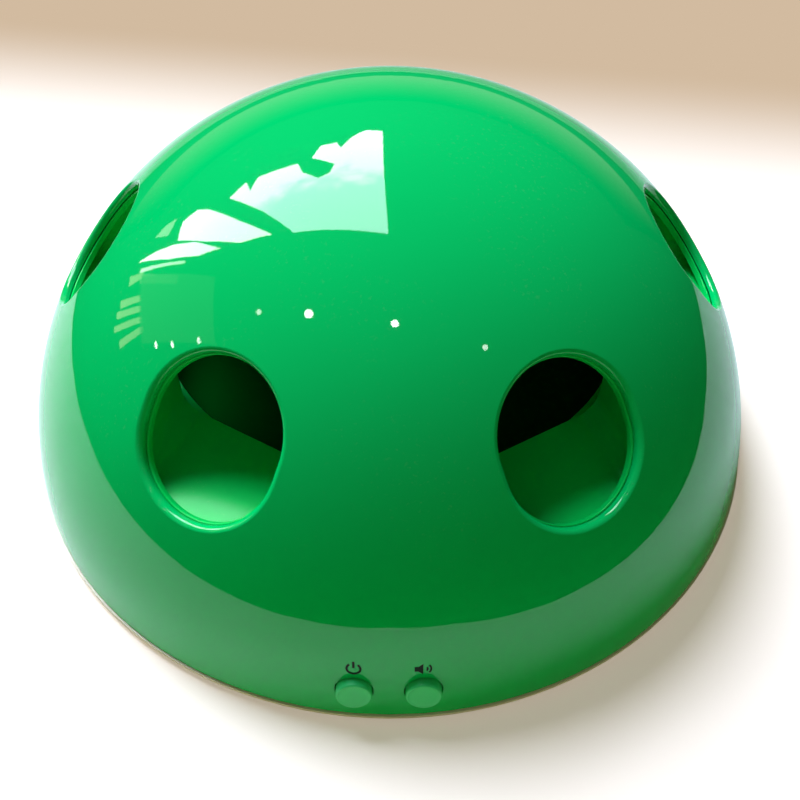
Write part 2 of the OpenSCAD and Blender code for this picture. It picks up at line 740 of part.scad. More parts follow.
module speaker_cone() {
    r = speaker_d / 2;
    color(grey) translate([speaker_x, 0, speaker_z]) rotate_extrude()
        polygon([[0, 2.2], [r * 0.3, 3.4], [r * 0.36, 3.4], [r - 2.8, 0.5], [r - 2.8, 0.9], [r * 0.38, 3.9],
            [r * 0.2, 3.9], [r * 0.2, 5.0], [0, 5.0]]);
}

module spindle() {
    color(steel) translate([0, 0, rim_z + seat_gap]) difference() {
        cylinder(r = spindle_r, h = table_top + 3.4 - rim_z);
        translate([0, 0, table_top + 1.4 - rim_z]) tube(spindle_r + 1, spindle_r - 0.5, 0.8);
    }
}
module thrust_washer() {
    color(steel) translate([0, 0, column_top]) tube(column_r - 0.5, spindle_r + fit_gap, washer_t);
}
module slip_board() {
    color(board_green) translate([0, 0, slip_board_z]) tube(platform_r, slip_bore_r, slip_board_t);
}
module slip_tracks() {
    color(copper) for (r = tracks) translate([0, 0, column_top]) tube(r + track_w / 2, r - track_w / 2, track_t);
}
module flat_motor() {
    color(steel) translate([motor_x, motor_y, rim_z]) {
        difference() {
            union() {
                cylinder(d = flat_motor_d, h = flat_motor_h);
                cylinder(r = 3, h = flat_motor_h + 0.5);
            }
            translate([0, 0, shaft_seat]) cylinder(r = motor_shaft_r + fit_gap, h = flat_motor_h);
        }
    }
}
module motor_shaft() {
    color(steel) translate([motor_x, motor_y, rim_z + shaft_seat + seat_gap])
        cylinder(r = motor_shaft_r, h = flat_motor_h + 4 - shaft_seat);
}
module motor_pinion() {
    color(white) translate([motor_x, motor_y, large_z]) difference() {
        rotate([0, 0, motor_az]) gear(motor_teeth, fine_mod, large_w + 0.4);
        translate([0, 0, -1]) cylinder(r = motor_shaft_r + fit_gap, h = 10);
    }
}
module ring_clip(r, h) {
    difference() {
        cylinder(r = r + 1.2, h = h);
        translate([0, 0, -1]) cylinder(r = r + fit_gap, h = h + 2);
        translate([0, -0.7 * r, -1]) cube([r + 2, 1.4 * r, h + 2]);
    }
}
module idler_clip() {
    color(steel) translate([idler_x, idler_y, idler_top + seat_gap]) ring_clip(idler_pin_d / 2, 0.4);
}
module idler_pin() {
    color(steel) translate([idler_x, idler_y, rim_z + seat_gap]) cylinder(d = idler_pin_d, h = idler_top - rim_z + 0.6);
}
// The large wheel meets the motor's pinion with a gap, and the small wheel meets the turntable's gear with a tooth
module idler_gear() {
    color(white) translate([idler_x, idler_y, 0]) difference() {
        union() {
            translate([0, 0, large_z]) rotate([0, 0, motor_az + 180 / idler_large_teeth])
                gear(idler_large_teeth, fine_mod, large_w);
            translate([0, 0, large_z]) cylinder(r = small_pitch_r - tooth_in * coarse_mod - 0.4, h = table_gear_z - large_z);
            translate([0, 0, table_gear_z - 1]) rotate([0, 0, idler_az + 180])
                gear(idler_small_teeth, coarse_mod, idler_top - table_gear_z + 1);
        }
        translate([0, 0, large_z - 1]) cylinder(d = idler_pin_d + 2 * fit_gap, h = idler_top);
    }
}
module table_gear() {
    web = 1.6;
    rim_in = ring_pitch_r - tooth_in * coarse_mod - 2.4;
    color(white) difference() {
        union() {
            translate([0, 0, table_gear_z]) rotate([0, 0, idler_az + 180 / ring_teeth])
                gear(ring_teeth, coarse_mod, table_gear_w);
            translate([0, 0, table_gear_z]) tube(rim_in + 2.2, rim_in, table_z - table_gear_z);
            translate([0, 0, hub_z]) cylinder(r = hub_r, h = table_z - hub_z);
        }
        translate([0, 0, table_gear_z - 1]) tube(rim_in, hub_r, table_gear_w - web + 1);
        translate([0, 0, hub_z - 1]) cylinder(r = spindle_r + fit_gap, h = table_z);
    }
}
module turntable() {
    hub_h = 1.2;
    color(black) rotate([0, 0, launch_az]) difference() {
        union() {
            translate([0, 0, table_z]) rotate_extrude($fn = 128) {
                square([table_r - 0.8, table_t]);
                square([table_r, table_t - 0.8]);
                translate([table_r - 0.8, table_t - 0.8]) circle(r = 0.8, $fn = 32);
            }
            translate([0, 0, table_top - eps]) cylinder(r = hub_r, h = hub_h);
            motor_saddle();
        }
        translate([0, 0, table_z - 1]) cylinder(r = spindle_r + fit_gap, h = 20);
        for (at = mount_spots) translate([at[0], at[1], table_z - 1]) cylinder(d = small_d + 2 * fit_gap, h = 5);
    }
}
// Two low walls with the motor's round sides cut in them
module motor_saddle() {
    for (y = [3, can_l - 6]) translate([launch_motor_x - can_x / 2 - 2, can_y + y, table_top - eps])
        difference() {
            cube([can_x + 4, 3, launch_motor_z - table_top - 2]);
            translate([2 - seat_gap, -1, launch_motor_z - can_z / 2 - table_top - seat_gap])
                cube([can_x + 2 * seat_gap, 5, 20]);
        }
}
module slip_brushes() {
    leaf_t = 0.3;
    color(copper) rotate([0, 0, launch_az]) for (k = [0 : 2]) rotate([0, 0, 120 * k]) {
        tip = column_top + track_t + clear;
        translate([tracks[k] - 0.6, -4, tip]) cube([1.2, 4, leaf_t]);
        translate([tracks[k] - 0.6, -4, tip]) cube([1.2, leaf_t, table_gear_z + 2.4 - tip]);
    }
}
module spindle_clip() {
    color(steel) translate([0, 0, table_top + 1.5]) difference() {
        cylinder(r = spindle_r + 2, h = 0.6);
        translate([0, 0, -1]) cylinder(r = spindle_r - 0.5 + fit_gap, h = 3);
        translate([0, 1 - spindle_r, -1]) cube([spindle_r + 3, 2 * spindle_r - 2, 3]);
    }
}

// The frame on the turntable: a foot, two cheeks, a bridge over the arm and a ledge under each side of it
module launcher_frame() {
    guide_l = guide_front - guide_back;
    ledge_y = rack_w / 2 + shoulder_gap;
    color(black) rotate([0, 0, launch_az]) difference() {
        union() {
            for (s = [-1, 1]) {
                translate([guide_back, s > 0 ? cheek_y : -frame_half, table_top])
                    cube([guide_l, cheek_t, guide_top + clear + cheek_t - table_top]);
                translate([guide_back, s > 0 ? ledge_y : -cheek_y - eps, arm_z - clear - ledge_t])
                    cube([guide_l, cheek_y - ledge_y + eps, ledge_t]);
            }
            translate([guide_back, -frame_half, guide_top + clear]) cube([guide_l, 2 * frame_half, cheek_t]);
            translate([guide_back - 4, -frame_half - 5.2, table_top]) cube([guide_l + 4, 5.2 + eps, foot_plate_t]);
            translate([hub_r + 2, -frame_half, table_top]) cube([guide_front - hub_r - 2, 2 * frame_half, foot_plate_t]);
        }
        translate([gear_x, -20, gear_z]) rotate([-90, 0, 0]) cylinder(d = launch_axle_d + 2 * fit_gap, h = 40);
        translate([gear_x, 0, gear_z]) rotate([-90, 0, 0]) cylinder(r = launch_hub_r + fit_gap, h = 40);
        translate([0, 0, table_top - 1]) cylinder(r = hub_r + 1, h = 6);
        for (at = mount_spots) translate([at[0], at[1], table_top - 1]) cylinder(d = small_d + 2 * fit_gap, h = 5);
    }
}
module mount_screws() {
    color(steel) rotate([0, 0, launch_az]) for (at = mount_spots)
        translate([at[0], at[1], table_top + at[2]]) small_screw(at[2] + table_t - 0.2);
}
module launch_axle() {
    color(steel) rotate([0, 0, launch_az]) translate([gear_x, -frame_half - 0.4, gear_z])
        rotate([-90, 0, 0]) cylinder(d = launch_axle_d, h = frame_half + launch_y + launch_w + 1.1);
}
module launch_clip() {
    color(steel) rotate([0, 0, launch_az]) translate([gear_x, launch_y + launch_w + seat_gap, gear_z])
        rotate([-90, 0, 0]) rotate([0, 0, 180]) ring_clip(launch_axle_d / 2, 0.4);
}
// A toothed wheel whose axis is +Y, with a tooth that points at an angle up from +X
module cross_gear(n, m, width, y, tooth_at) {
    translate([0, y, 0]) rotate([-90, 0, 0]) rotate([0, 0, -tooth_at]) gear(n, m, width);
}
mesh_az = 180 + asin(can_drop / (launch_pitch_r + pinion_pitch_r));
module launch_gear() {
    color(white) rotate([0, 0, launch_az]) translate([gear_x, 0, gear_z]) difference() {
        union() {
            cross_gear(rack_wheel_teeth, coarse_mod, rack_w, -rack_w / 2, 90);
            cross_gear(launch_teeth, fine_mod, launch_w, launch_y, mesh_az + 180 / launch_teeth);
            translate([0, rack_w / 2 - eps, 0]) rotate([-90, 0, 0])
                cylinder(r = launch_hub_r, h = launch_y - rack_w / 2 + 2 * eps);
        }
        translate([0, -20, 0]) rotate([-90, 0, 0]) cylinder(d = launch_axle_d + 2 * fit_gap, h = 40);
    }
}
module launch_pinion() {
    color(white) rotate([0, 0, launch_az]) translate([launch_motor_x, 0, launch_motor_z]) difference() {
        cross_gear(motor_teeth, fine_mod, launch_w, launch_y, mesh_az + 180);
        translate([0, -20, 0]) rotate([-90, 0, 0]) cylinder(r = motor_shaft_r + fit_gap, h = 60);
    }
}
module launch_motor() {
    color(steel) rotate([0, 0, launch_az]) translate([launch_motor_x, 0, launch_motor_z]) difference() {
        union() {
            intersection() {
                translate([0, can_y, 0]) rotate([-90, 0, 0]) cylinder(d = can_x, h = can_l);
                translate([-can_x, can_y - 1, -can_z / 2]) cube([2 * can_x, can_l + 2, can_z]);
            }
            translate([0, can_y - 0.6, 0]) rotate([-90, 0, 0]) cylinder(r = 3, h = 1);
        }
        translate([0, can_y - 2, 0]) rotate([-90, 0, 0]) cylinder(r = motor_shaft_r + fit_gap, h = can_l - 2);
    }
}
module launch_shaft() {
    color(steel) rotate([0, 0, launch_az]) translate([launch_motor_x, launch_y - 0.3, launch_motor_z])
        rotate([-90, 0, 0]) cylinder(r = motor_shaft_r, h = can_y - launch_y + can_l - 4);
}
module launch_motor_clip() {
    low = table_top;
    top = launch_motor_z + can_z / 2 + seat_gap;
    half = clip_half - clip_t;
    color(steel) rotate([0, 0, launch_az]) translate([launch_motor_x, clip_mid_y - clip_w / 2, 0]) difference() {
        union() {
            difference() {
                translate([-clip_half, 0, low]) cube([2 * clip_half, clip_w, top + clip_t - low]);
                translate([-half, -1, low - 1]) cube([2 * half, clip_w + 2, top - low + 1]);
            }
            for (s = [-1, 1]) translate([s > 0 ? clip_half - eps : -clip_half - 5.2, 0, low])
                cube([5.2 + eps, clip_w, clip_t]);
        }
        for (s = [-1, 1]) translate([s * (clip_half + 2.6), clip_w / 2, low - 1])
            cylinder(d = small_d + 2 * fit_gap, h = 5);
    }
}

module rack_arm() {
    rack_front = gear_x + PI * coarse_mod;
    color(white) rotate([0, 0, launch_az]) {
        translate([arm_back, -arm_w / 2, arm_z]) cube([rump_x + arm_in - arm_back, arm_w, arm_h]);
        translate([rack_front, rack_w / 2, arm_z + eps]) rotate([90, 0, 0]) linear_extrude(rack_w) intersection() {
            polygon(concat([[0, 1]], rack_points(rack_teeth + 1, coarse_mod), [[arm_back - rack_front, 1]]));
            translate([arm_back - rack_front, -5]) square([rack_front - arm_back, 10]);
        }
    }
}

// The mouse: a body of revolution that swells from the rump and tapers to the snout
function mouse_radius(t) = mouse_d / 2 * pow(sin(180 * pow(t, 0.80)), 0.62) * (1 - 0.28 * t);
mouse_steps = 18;
// The mouse's solid, grown by a little for what is sewn on it
module mouse_solid(grow) {
    rotate([0, 90, 0]) rotate_extrude($fn = 48) polygon(concat([[0, -grow]],
        [for (i = [1 : mouse_steps - 1]) [mouse_radius(i / mouse_steps) + grow, mouse_l * i / mouse_steps]],
        [[0, mouse_l + grow]]));
}
module mouse_body() {
    color(fur) rotate([0, 0, launch_az]) translate([rump_x, 0, mouse_z]) difference() {
        mouse_solid(0);
        translate([-20, -arm_w / 2 - seat_gap, -arm_h / 2 - seat_gap])
            cube([20 + arm_in + seat_gap, arm_w + 2 * seat_gap, arm_h + 2 * seat_gap]);
    }
}
module mouse_ears() {
    ear_x = mouse_l * 0.56;
    color(pink) rotate([0, 0, launch_az]) translate([rump_x, 0, mouse_z]) difference() {
        for (s = [-1, 1]) rotate([s * -42, 0, 0]) translate([ear_x, 0, mouse_d * 0.42]) rotate([0, -20, 0])
            rotate([0, 90, 0]) cylinder(d = mouse_d * 0.41, h = mouse_d * 0.06, center = true, $fn = 48);
        mouse_solid(0.05);
    }
}
module mouse_eyes() {
    t = 0.80;
    color(black) rotate([0, 0, launch_az]) translate([rump_x, 0, mouse_z]) difference() {
        for (s = [-1, 1]) rotate([s * -50, 0, 0])
            translate([mouse_l * t, 0, mouse_radius(t)]) sphere(r = 1.5, $fn = 32);
        mouse_solid(0.05);
    }
}
module mouse_nose() {
    color(pink) rotate([0, 0, launch_az]) translate([rump_x, 0, mouse_z]) difference() {
        translate([mouse_l, 0, 0]) sphere(r = 1.7, $fn = 32);
        mouse_solid(0.05);
    }
}
tail_sides = 8;
tail_steps = 12;
tail_r = 1.3;
function tail_at(u) = [rump_x + 2.4 - 18 * u, 0, mouse_z + 6.6 + 9.5 * sin(75 * u)];
function tail_width(u) = tail_r * (1 - 0.55 * u);
module mouse_tail() {
    rings = [for (i = [0 : tail_steps]) let (u = i / tail_steps, p = tail_at(u),
        d = tail_at(u + 0.01) - tail_at(u - 0.01), f = d / norm(d), n = cross(f, [0, 1, 0]))
        for (k = [0 : tail_sides - 1]) let (a = k * 360 / tail_sides)
            p + tail_width(u) * (cos(a) * n + sin(a) * [0, 1, 0])];
    last = tail_steps * tail_sides;
    color(pink) rotate([0, 0, launch_az]) polyhedron(points = rings, faces = concat(
        [[for (k = [0 : tail_sides - 1]) k]], [[for (k = [tail_sides - 1 : -1 : 0]) last + k]],
        [for (i = [0 : tail_steps - 1], k = [0 : tail_sides - 1]) let (a = i * tail_sides + k,
            b = i * tail_sides + (k + 1) % tail_sides) [a, a + tail_sides, b + tail_sides, b]]));
}

dome_shell();
base_plate();
deck_plate();
chute(0);  // chute_right
chute(60);  // chute_back_right
chute(120);  // chute_back_left
chute(180);  // chute_left
chute(240);  // chute_front_left
chute(300);  // chute_front_right
rubber_feet();
case_screws();
deck_screws();
board_screws();
button(-1);  // power_button
button(1);  // sound_button
plunger(-1);  // power_plunger
plunger(1);  // sound_plunger
tact_switch(-1);  // power_switch
tact_switch(1);  // sound_switch
button_board();
main_board();
board_chips();
battery_box();
battery_door();
door_screw();
cell(0);  // cell_front
cell(1);  // cell_middle
cell(2);  // cell_back
battery_contacts();
speaker_frame();
speaker_cone();
spindle();
thrust_washer();
slip_board();
slip_tracks();
flat_motor();
motor_shaft();
motor_pinion();
idler_pin();
idler_clip();
idler_gear();
table_gear();
turntable();
slip_brushes();
spindle_clip();
launcher_frame();
mount_screws();
launch_axle();
launch_clip();
launch_gear();
launch_motor();
launch_motor_clip();
launch_shaft();
launch_pinion();
rack_arm();
mouse_body();
mouse_ears();
mouse_eyes();
mouse_nose();
mouse_tail();
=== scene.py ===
"""Looks of a domed mouse toy for cats: shell, sleeves, buttons, drive, plush mouse and studio."""

import math

import bmesh
import bpy
import numpy as np
from bpy.props import FloatProperty, FloatVectorProperty, IntProperty, PointerProperty
from mathutils import Matrix, Vector


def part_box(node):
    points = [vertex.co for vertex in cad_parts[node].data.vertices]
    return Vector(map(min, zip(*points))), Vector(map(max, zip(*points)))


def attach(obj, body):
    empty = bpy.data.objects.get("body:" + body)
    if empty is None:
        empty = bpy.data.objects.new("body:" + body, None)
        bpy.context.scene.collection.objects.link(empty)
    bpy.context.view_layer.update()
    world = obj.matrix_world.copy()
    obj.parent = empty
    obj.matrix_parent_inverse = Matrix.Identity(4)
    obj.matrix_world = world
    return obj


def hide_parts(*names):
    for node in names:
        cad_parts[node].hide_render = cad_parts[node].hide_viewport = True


bl_info = {
    "name": "Domed mouse toy",
    "version": (1, 0, 0),
    "blender": (4, 5, 0),
    "location": "3D Viewport > Sidebar > Cat Toy",
    "description": "Dresses the packed mouse toy: shell, sleeves, buttons, drive, mouse and studio",
    "category": "Object",
}

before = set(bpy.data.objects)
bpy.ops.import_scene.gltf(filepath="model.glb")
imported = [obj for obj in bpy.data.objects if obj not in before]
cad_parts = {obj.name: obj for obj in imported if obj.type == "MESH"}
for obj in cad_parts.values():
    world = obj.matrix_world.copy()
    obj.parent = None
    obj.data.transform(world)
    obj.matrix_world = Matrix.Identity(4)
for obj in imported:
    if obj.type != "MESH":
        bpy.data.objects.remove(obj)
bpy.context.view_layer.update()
SHELL_LOW, SHELL_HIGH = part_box("dome_shell")
BODY_LOW, BODY_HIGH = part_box("mouse_body")
CELL_LOW, CELL_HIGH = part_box("cell_front")
CHUTES = ["chute_right", "chute_back_right", "chute_back_left", "chute_left", "chute_front_left",
          "chute_front_right"]
FRONT = math.radians(-90)
HALF_WEDGE = math.radians(30)
MOUSE_AZIMUTH = math.radians(60)
SEAMS = (0, 125, -125)  # round the mouse's body, in degrees from its back
EYE_AT, EYE_TURN = 0.8, 50  # along the body, and in degrees from its back
DUST = (0.62, 0.62, 0.58)
WHITE, BEIGE = (1, 1, 1), (0.645, 0.497, 0.352)

# The tabletop ends where the reflection in the dome shows its edge: (x, y)
TABLE_EDGE = [
    (0.0, -0.235), (0.05, -0.226), (0.088, -0.198), (0.13, -0.16), (0.17, -0.115), (0.22, -0.06),
    (0.29, 0.008), (0.36, 0.12), (0.40, 0.30), (0.40, 0.62), (0.30, 0.78), (-0.30, 0.78),
    (-0.36, 0.60), (-0.30, 0.26), (-0.262, 0.125), (-0.293, 0.083), (-0.314, 0.036),
    (-0.303, -0.041), (-0.275, -0.077), (-0.243, -0.115), (-0.198, -0.152), (-0.126, -0.195),
    (-0.06, -0.222)]
# Lit panels overhead that the gloss reflects: name, outline (x, y), tint, strength
PANES = [
    ("window_sky", [
        (-0.07, 1.47), (-0.05, 0.76), (-0.02, 0.22), (-0.57, 0.34), (-0.82, 0.65), (-1.25, 1.13),
        (-1.08, 1.21), (-1.0, 1.02), (-0.96, 1.19), (-0.75, 1.13), (-0.62, 1.11), (-0.56, 0.94),
        (-0.44, 0.80), (-0.37, 0.84), (-0.35, 0.94), (-0.52, 1.13), (-0.48, 1.33), (-0.37, 1.32),
        (-0.33, 1.19), (-0.27, 1.40), (-0.18, 1.53)], WHITE, 16.0),
    ("window_left", [
        (-2.15, 1.24), (-2.15, 1.54), (-1.81, 1.45), (-1.53, 1.21), (-1.04, 0.69), (-0.73, 0.39),
        (-1.02, 0.46), (-1.49, 0.76)], (0.96, 1.0, 0.98), 17.0),
    ("window_far", [
        (-4.52, 2.51), (-3.12, 1.75), (-2.3, 1.28), (-1.68, 0.88), (-1.24, 0.53), (-1.6, 0.66),
        (-2.31, 1.07)], (0.95, 1.0, 0.96), 17.0),
    ("window_strip", [(-4.05, 2.03), (-1.86, 0.76), (-1.84, 0.72), (-4.1, 1.96)],
     (0.9, 1.0, 0.9), 9.0),
    ("window_sill", [(-3.9, 1.80), (-2.0, 0.66), (-2.05, 0.58), (-4.0, 1.66)],
     (0.9, 1.0, 0.7), 1.6),
    ("window_wedge", [(-3.44, 2.31), (-2.9, 2.13), (-2.44, 1.87), (-2.49, 1.78), (-2.6, 1.67)],
     (0.9, 1.0, 0.86), 3.4),
    ("wall_pale", [(-3.85, 1.74), (-1.31, 0.29), (-1.46, -0.29), (-3.99, 0.42)],
     (0.55, 0.62, 0.5), 0.45)]
# Slats of a blind: x and y of the far end, slope. Small lamps: x, y, radius, strength
SLATS = [(-5.6, 2.8, 0.56), (-7.4, 3.0, 0.47), (-8.8, 3.2, 0.42), (-10.4, 3.2, 0.35),
         (-8.2, 1.8, 0.25)]
SPOTS = [(-0.5, -0.25, 0.030, 30), (0.02, -0.35, 0.024, 28), (0.62, -0.46, 0.022, 14),
         (-0.88, -0.16, 0.022, 12), (-1.72, -0.19, 0.035, 20), (-2.4, -0.05, 0.045, 22),
         (-3.07, 0.13, 0.06, 22)]


# Sizes and colours --------------------------------------------------------------------------------


def number(name, text, default, **more):
    return FloatProperty(name=name, description=text, default=default, **more)


def length(name, text, default):
    return number(name, text, default, unit="LENGTH")


def angle(name, text, degrees):
    return number(name, text, math.radians(degrees), subtype="ANGLE")


def colour(name, text, default):
    return FloatVectorProperty(name=name, description=text, subtype="COLOR", size=3, min=0, max=1,
                               default=default)


class CatToyShell(bpy.types.PropertyGroup):
    rim_radius: length("Rim radius", "Radius of the dome at its rim", 0.12)
    rise: length("Rise", "Height of the dome above its rim", SHELL_HIGH[2] - SHELL_LOW[2])
    wall: length("Wall", "Thickness of the dome", 0.0026)
    hole_width: length("Paw hole", "Width of a paw hole inside its lip", 0.039)
    hole_stretch: length("Hole stretch", "How much taller than wide a paw hole is", 0.0042)
    hole_rise: angle("Hole rise", "Height of a paw hole, as an angle at the ball's centre", 41.6)
    lip: length("Lip", "Radius of the rounded lip of a paw hole", 0.0016)
    button_bore: length("Button bore", "Diameter of the hole for a button", 0.0102)
    button_gap: length("Button gap", "Distance between the buttons", 0.018)
    button_rise: angle("Button rise", "Height of the buttons, as an angle at the ball's centre", 13)


class CatToyColours(bpy.types.PropertyGroup):
    shell: colour("Shell", "Gloss green of the dome", (0.0, 0.60, 0.14))
    sleeves: colour("Sleeves", "Green of the sleeves, floors and deck", (0.0, 0.66, 0.115))
    buttons: colour("Buttons", "Green of the push buttons", (0.03, 0.78, 0.26))
    base: colour("Base", "Cream of the base and its door", (0.86, 0.82, 0.74))
    fur: colour("Fur", "Grey of the mouse's plush", (0.30, 0.275, 0.26))
    felt: colour("Felt", "Pink of the ears, nose and tail", (0.62, 0.25, 0.24))
    print_ink: colour("Print", "Ink of the signs beside the buttons", (0.003, 0.02, 0.01))


class CatToyPlush(bpy.types.PropertyGroup):
    rump: length("Rump", "Distance of the rump from the turntable's axis", 0.0215)
    length: length("Length", "Length of the body", 0.046)
    girth: length("Girth", "Diameter that the body's taper starts from", 0.027)
    inset: length("Inset", "How far the body is drawn in before it is stuffed", 0.0014)
    swell: length("Swell", "How far the stuffing may push the body out", 0.0011)
    pressure: number("Stuffing", "Pressure of the stuffing while the cloth settles", 4)
    seed: IntProperty(name="Seed", description="Seed of everything random on the mouse", default=7)
    hairs: number("Hairs", "Hairs of the pile on a square millimetre", 6.5, min=0)
    pile: length("Pile", "Length of the plush pile", 0.0017)


class CatToyStudio(bpy.types.PropertyGroup):
    key: number("Key", "Strength of the soft light from the left", 5.5)
    front: number("Front", "Strength of the soft light from the front", 0.48)
    fill: number("Fill", "Strength of the light from all round", 0.07)
    panels: number("Windows", "Brightness of the windows that the gloss reflects", 1.0)
    lens: number("Lens", "Focal length of the camera in millimetres", 38.86)
    roll: angle("Roll", "How far the camera is turned about its view", 0.9)


class CatToySettings(bpy.types.PropertyGroup):
    shell: PointerProperty(type=CatToyShell)
    colours: PointerProperty(type=CatToyColours)
    plush: PointerProperty(type=CatToyPlush)
    studio: PointerProperty(type=CatToyStudio)


def settings():
    return bpy.context.scene.cat_toy


# Node helpers -------------------------------------------------------------------------------------


def feed(tree, socket, value):
    """Links a socket to another node's output, or gives it a value of its own."""
    if isinstance(value, bpy.types.NodeSocket):
        tree.links.new(value, socket)
    else:
        socket.default_value = value


def add(tree, kind, values=None, **props):
    """Adds a node. values maps its inputs, by name or number, to what feeds them."""
    node = tree.nodes.new(kind)
    for name, value in props.items():
        setattr(node, name, value)
    for name, value in (values or {}).items():
        feed(tree, node.inputs[name], value)
    return node


def math_node(tree, operation, a, b=0.0, c=None, clamp=False):
    values = {0: a, 1: b} if c is None else {0: a, 1: b, 2: c}
    return add(tree, "ShaderNodeMath", values, operation=operation, use_clamp=clamp).outputs[0]


def times(tree, a, b):
    return math_node(tree, "MULTIPLY", a, b)


def plus(tree, a, b, clamp=False):
    return math_node(tree, "ADD", a, b, clamp=clamp)


def ramp(tree, fac, low, high):
    """0 below low, 1 above high, smooth between."""
    values = {"Value": fac, "From Min": low, "From Max": high}
    return add(tree, "ShaderNodeMapRange", values, interpolation_type="SMOOTHSTEP").outputs[0]


def mix(tree, fac, a, b, blend="MIX"):
    """A mix of two colours, each a colour of three numbers or another node's output."""
    node = add(tree, "ShaderNodeMix", data_type="RGBA", blend_type=blend)
    for socket, value in ((0, fac), (6, a), (7, b)):
        feed(tree, node.inputs[socket], (*value, 1) if isinstance(value, (tuple, list)) else value)
    return node.outputs[2]


def coordinates(tree, kind="Object"):
    return add(tree, "ShaderNodeTexCoord").outputs[kind]


def parts(tree, vector):
    """The x, y and z outputs of a vector."""
    return add(tree, "ShaderNodeSeparateXYZ", {0: vector}).outputs


def noise(tree, where, scale, detail, roughness=0.5):
    return add(tree, "ShaderNodeTexNoise", {"Vector": where, "Scale": scale, "Detail": detail,
                                            "Roughness": roughness}).outputs


def vector_node(tree, operation, a, b=None, scale=None):
    values = {0: a} if b is None else {0: a, 1: b}
    if scale is not None:
        values["Scale"] = scale
    node = add(tree, "ShaderNodeVectorMath", values, operation=operation)
    return node.outputs[operation == "DOT_PRODUCT"]


def random_node(tree, low, high, seed):
    """A random number for every point, or a random vector where low and high are vectors."""
    vector = isinstance(low, tuple)
    values = {0: low, 1: high, "Seed": seed} if vector else {2: low, 3: high, "Seed": seed}
    kind = "FLOAT_VECTOR" if vector else "FLOAT"
    return add(tree, "FunctionNodeRandomValue", values, data_type=kind).outputs[0 if vector else 1]


def group(name, outputs, **inputs):
    """A new shader node group of plain numbers, with its input and output nodes' sockets."""
    tree = bpy.data.node_groups.new(name, "ShaderNodeTree")
    for label, default in inputs.items():
        socket = tree.interface.new_socket(label, in_out="INPUT", socket_type="NodeSocketFloat")
        socket.default_value = default
    for label in outputs:
        tree.interface.new_socket(label, in_out="OUTPUT", socket_type="NodeSocketFloat")
    return tree, tree.nodes.new("NodeGroupInput").outputs, tree.nodes.new("NodeGroupOutput").inputs


def place(tree, name, **values):
    """Places a shader node group, and gives its outputs."""
    node = tree.nodes.new("ShaderNodeGroup")
    node.node_tree = bpy.data.node_groups[name]
    for label, value in values.items():
        feed(tree, node.inputs[label], value)
    return node.outputs


def build_effects():
    """The shader groups that several finishes share."""
    # Moulding grain: a fine, even roughness of the tool, and a slow change of tone
    t, i, o = group("Mould grain", ["Height", "Tone"], Grain=2500.0, Cloud=30.0)
    where = coordinates(t)
    t.links.new(noise(t, where, i["Grain"], 2.0)[0], o["Height"])
    t.links.new(noise(t, where, i["Cloud"], 3.0)[0], o["Tone"])
    # Hairline scratches from handling: noise drawn out in three directions
    t, i, o = group("Hairlines", ["Mask"], Scale=60.0, Amount=0.5)
    where = coordinates(t)
    masks = []
    for turn, stretch in (((0.3, 0.5, 0.4), (1, 22, 1)), ((0.9, 0.2, 1.7), (1, 1, 26)),
                          ((1.5, 1.1, 0.2), (30, 1, 1))):
        turned = add(t, "ShaderNodeMapping", {"Vector": where, "Rotation": turn, "Scale": stretch})
        masks.append(ramp(t, noise(t, turned.outputs[0], i["Scale"], 4.0, 0.7)[0], 0.66, 0.74))
    both = math_node(t, "MAXIMUM", math_node(t, "MAXIMUM", masks[0], masks[1]), masks[2])
    t.links.new(times(t, both, i["Amount"]), o["Mask"])
    # Dust that settles on what faces up
    t, i, o = group("Dust", ["Mask"], Scale=900.0, Amount=0.4)
    where = coordinates(t)
    up = parts(t, add(t, "ShaderNodeNewGeometry").outputs["Normal"])[2]
    specks = ramp(t, noise(t, where, i["Scale"], 3.0, 0.6)[0], 0.56, 0.78)
    spread = times(t, specks, ramp(t, noise(t, where, 25.0, 2.0)[0], 0.35, 0.7))
    amount = times(t, ramp(t, up, 0.1, 0.9), i["Amount"])
    t.links.new(times(t, spread, amount), o["Mask"])
    # Short loose fibres of felt and plush
    t, i, o = group("Fibres", ["Height", "Tone"], Scale=700.0, Lean=7.0)
    where = coordinates(t)
    bent = mix(t, 0.006, where, noise(t, where, 160.0, 2.0)["Color"], "ADD")
    size = add(t, "ShaderNodeCombineXYZ", {0: 1.0, 1: i["Lean"], 2: 1.0})
    along = add(t, "ShaderNodeMapping", {"Vector": bent, "Scale": size.outputs[0]}).outputs[0]
    t.links.new(noise(t, along, i["Scale"], 3.0, 0.65)[0], o["Height"])
    t.links.new(noise(t, where, 220.0, 2.0)[0], o["Tone"])


def finish(name, roughness, metallic=0.0, **sockets):
    """A new material's tree and its Principled shader."""
    made = bpy.data.materials.new(name)
    made.use_nodes = True
    shader = made.node_tree.nodes["Principled BSDF"]
    for label, value in {"Roughness": roughness, "Metallic": metallic, **sockets}.items():
        shader.inputs[label.replace("_", " ")].default_value = value
    return made.node_tree, shader


def wire(tree, shader, **outputs):
    """Links nodes' outputs to the shader's inputs of those names."""
    for label, output in outputs.items():
        tree.links.new(output, shader.inputs[label.replace("_", " ")])


def bump(tree, shader, height, strength, distance):
    values = {"Height": height, "Strength": strength, "Distance": distance}
    wire(tree, shader, Normal=add(tree, "ShaderNodeBump", values).outputs[0])


def shade(tree, shader, tone, base, spread, dust=None):
    """Base colour between a darker and a lighter tone, with dust on top."""
    dark, light = [c * (1 - spread) for c in base], [min(1, c * (1 + spread)) for c in base]
    out = mix(tree, tone, dark, light)
    if dust is not None:
        out = mix(tree, dust, out, DUST)
    wire(tree, shader, Base_Color=out)


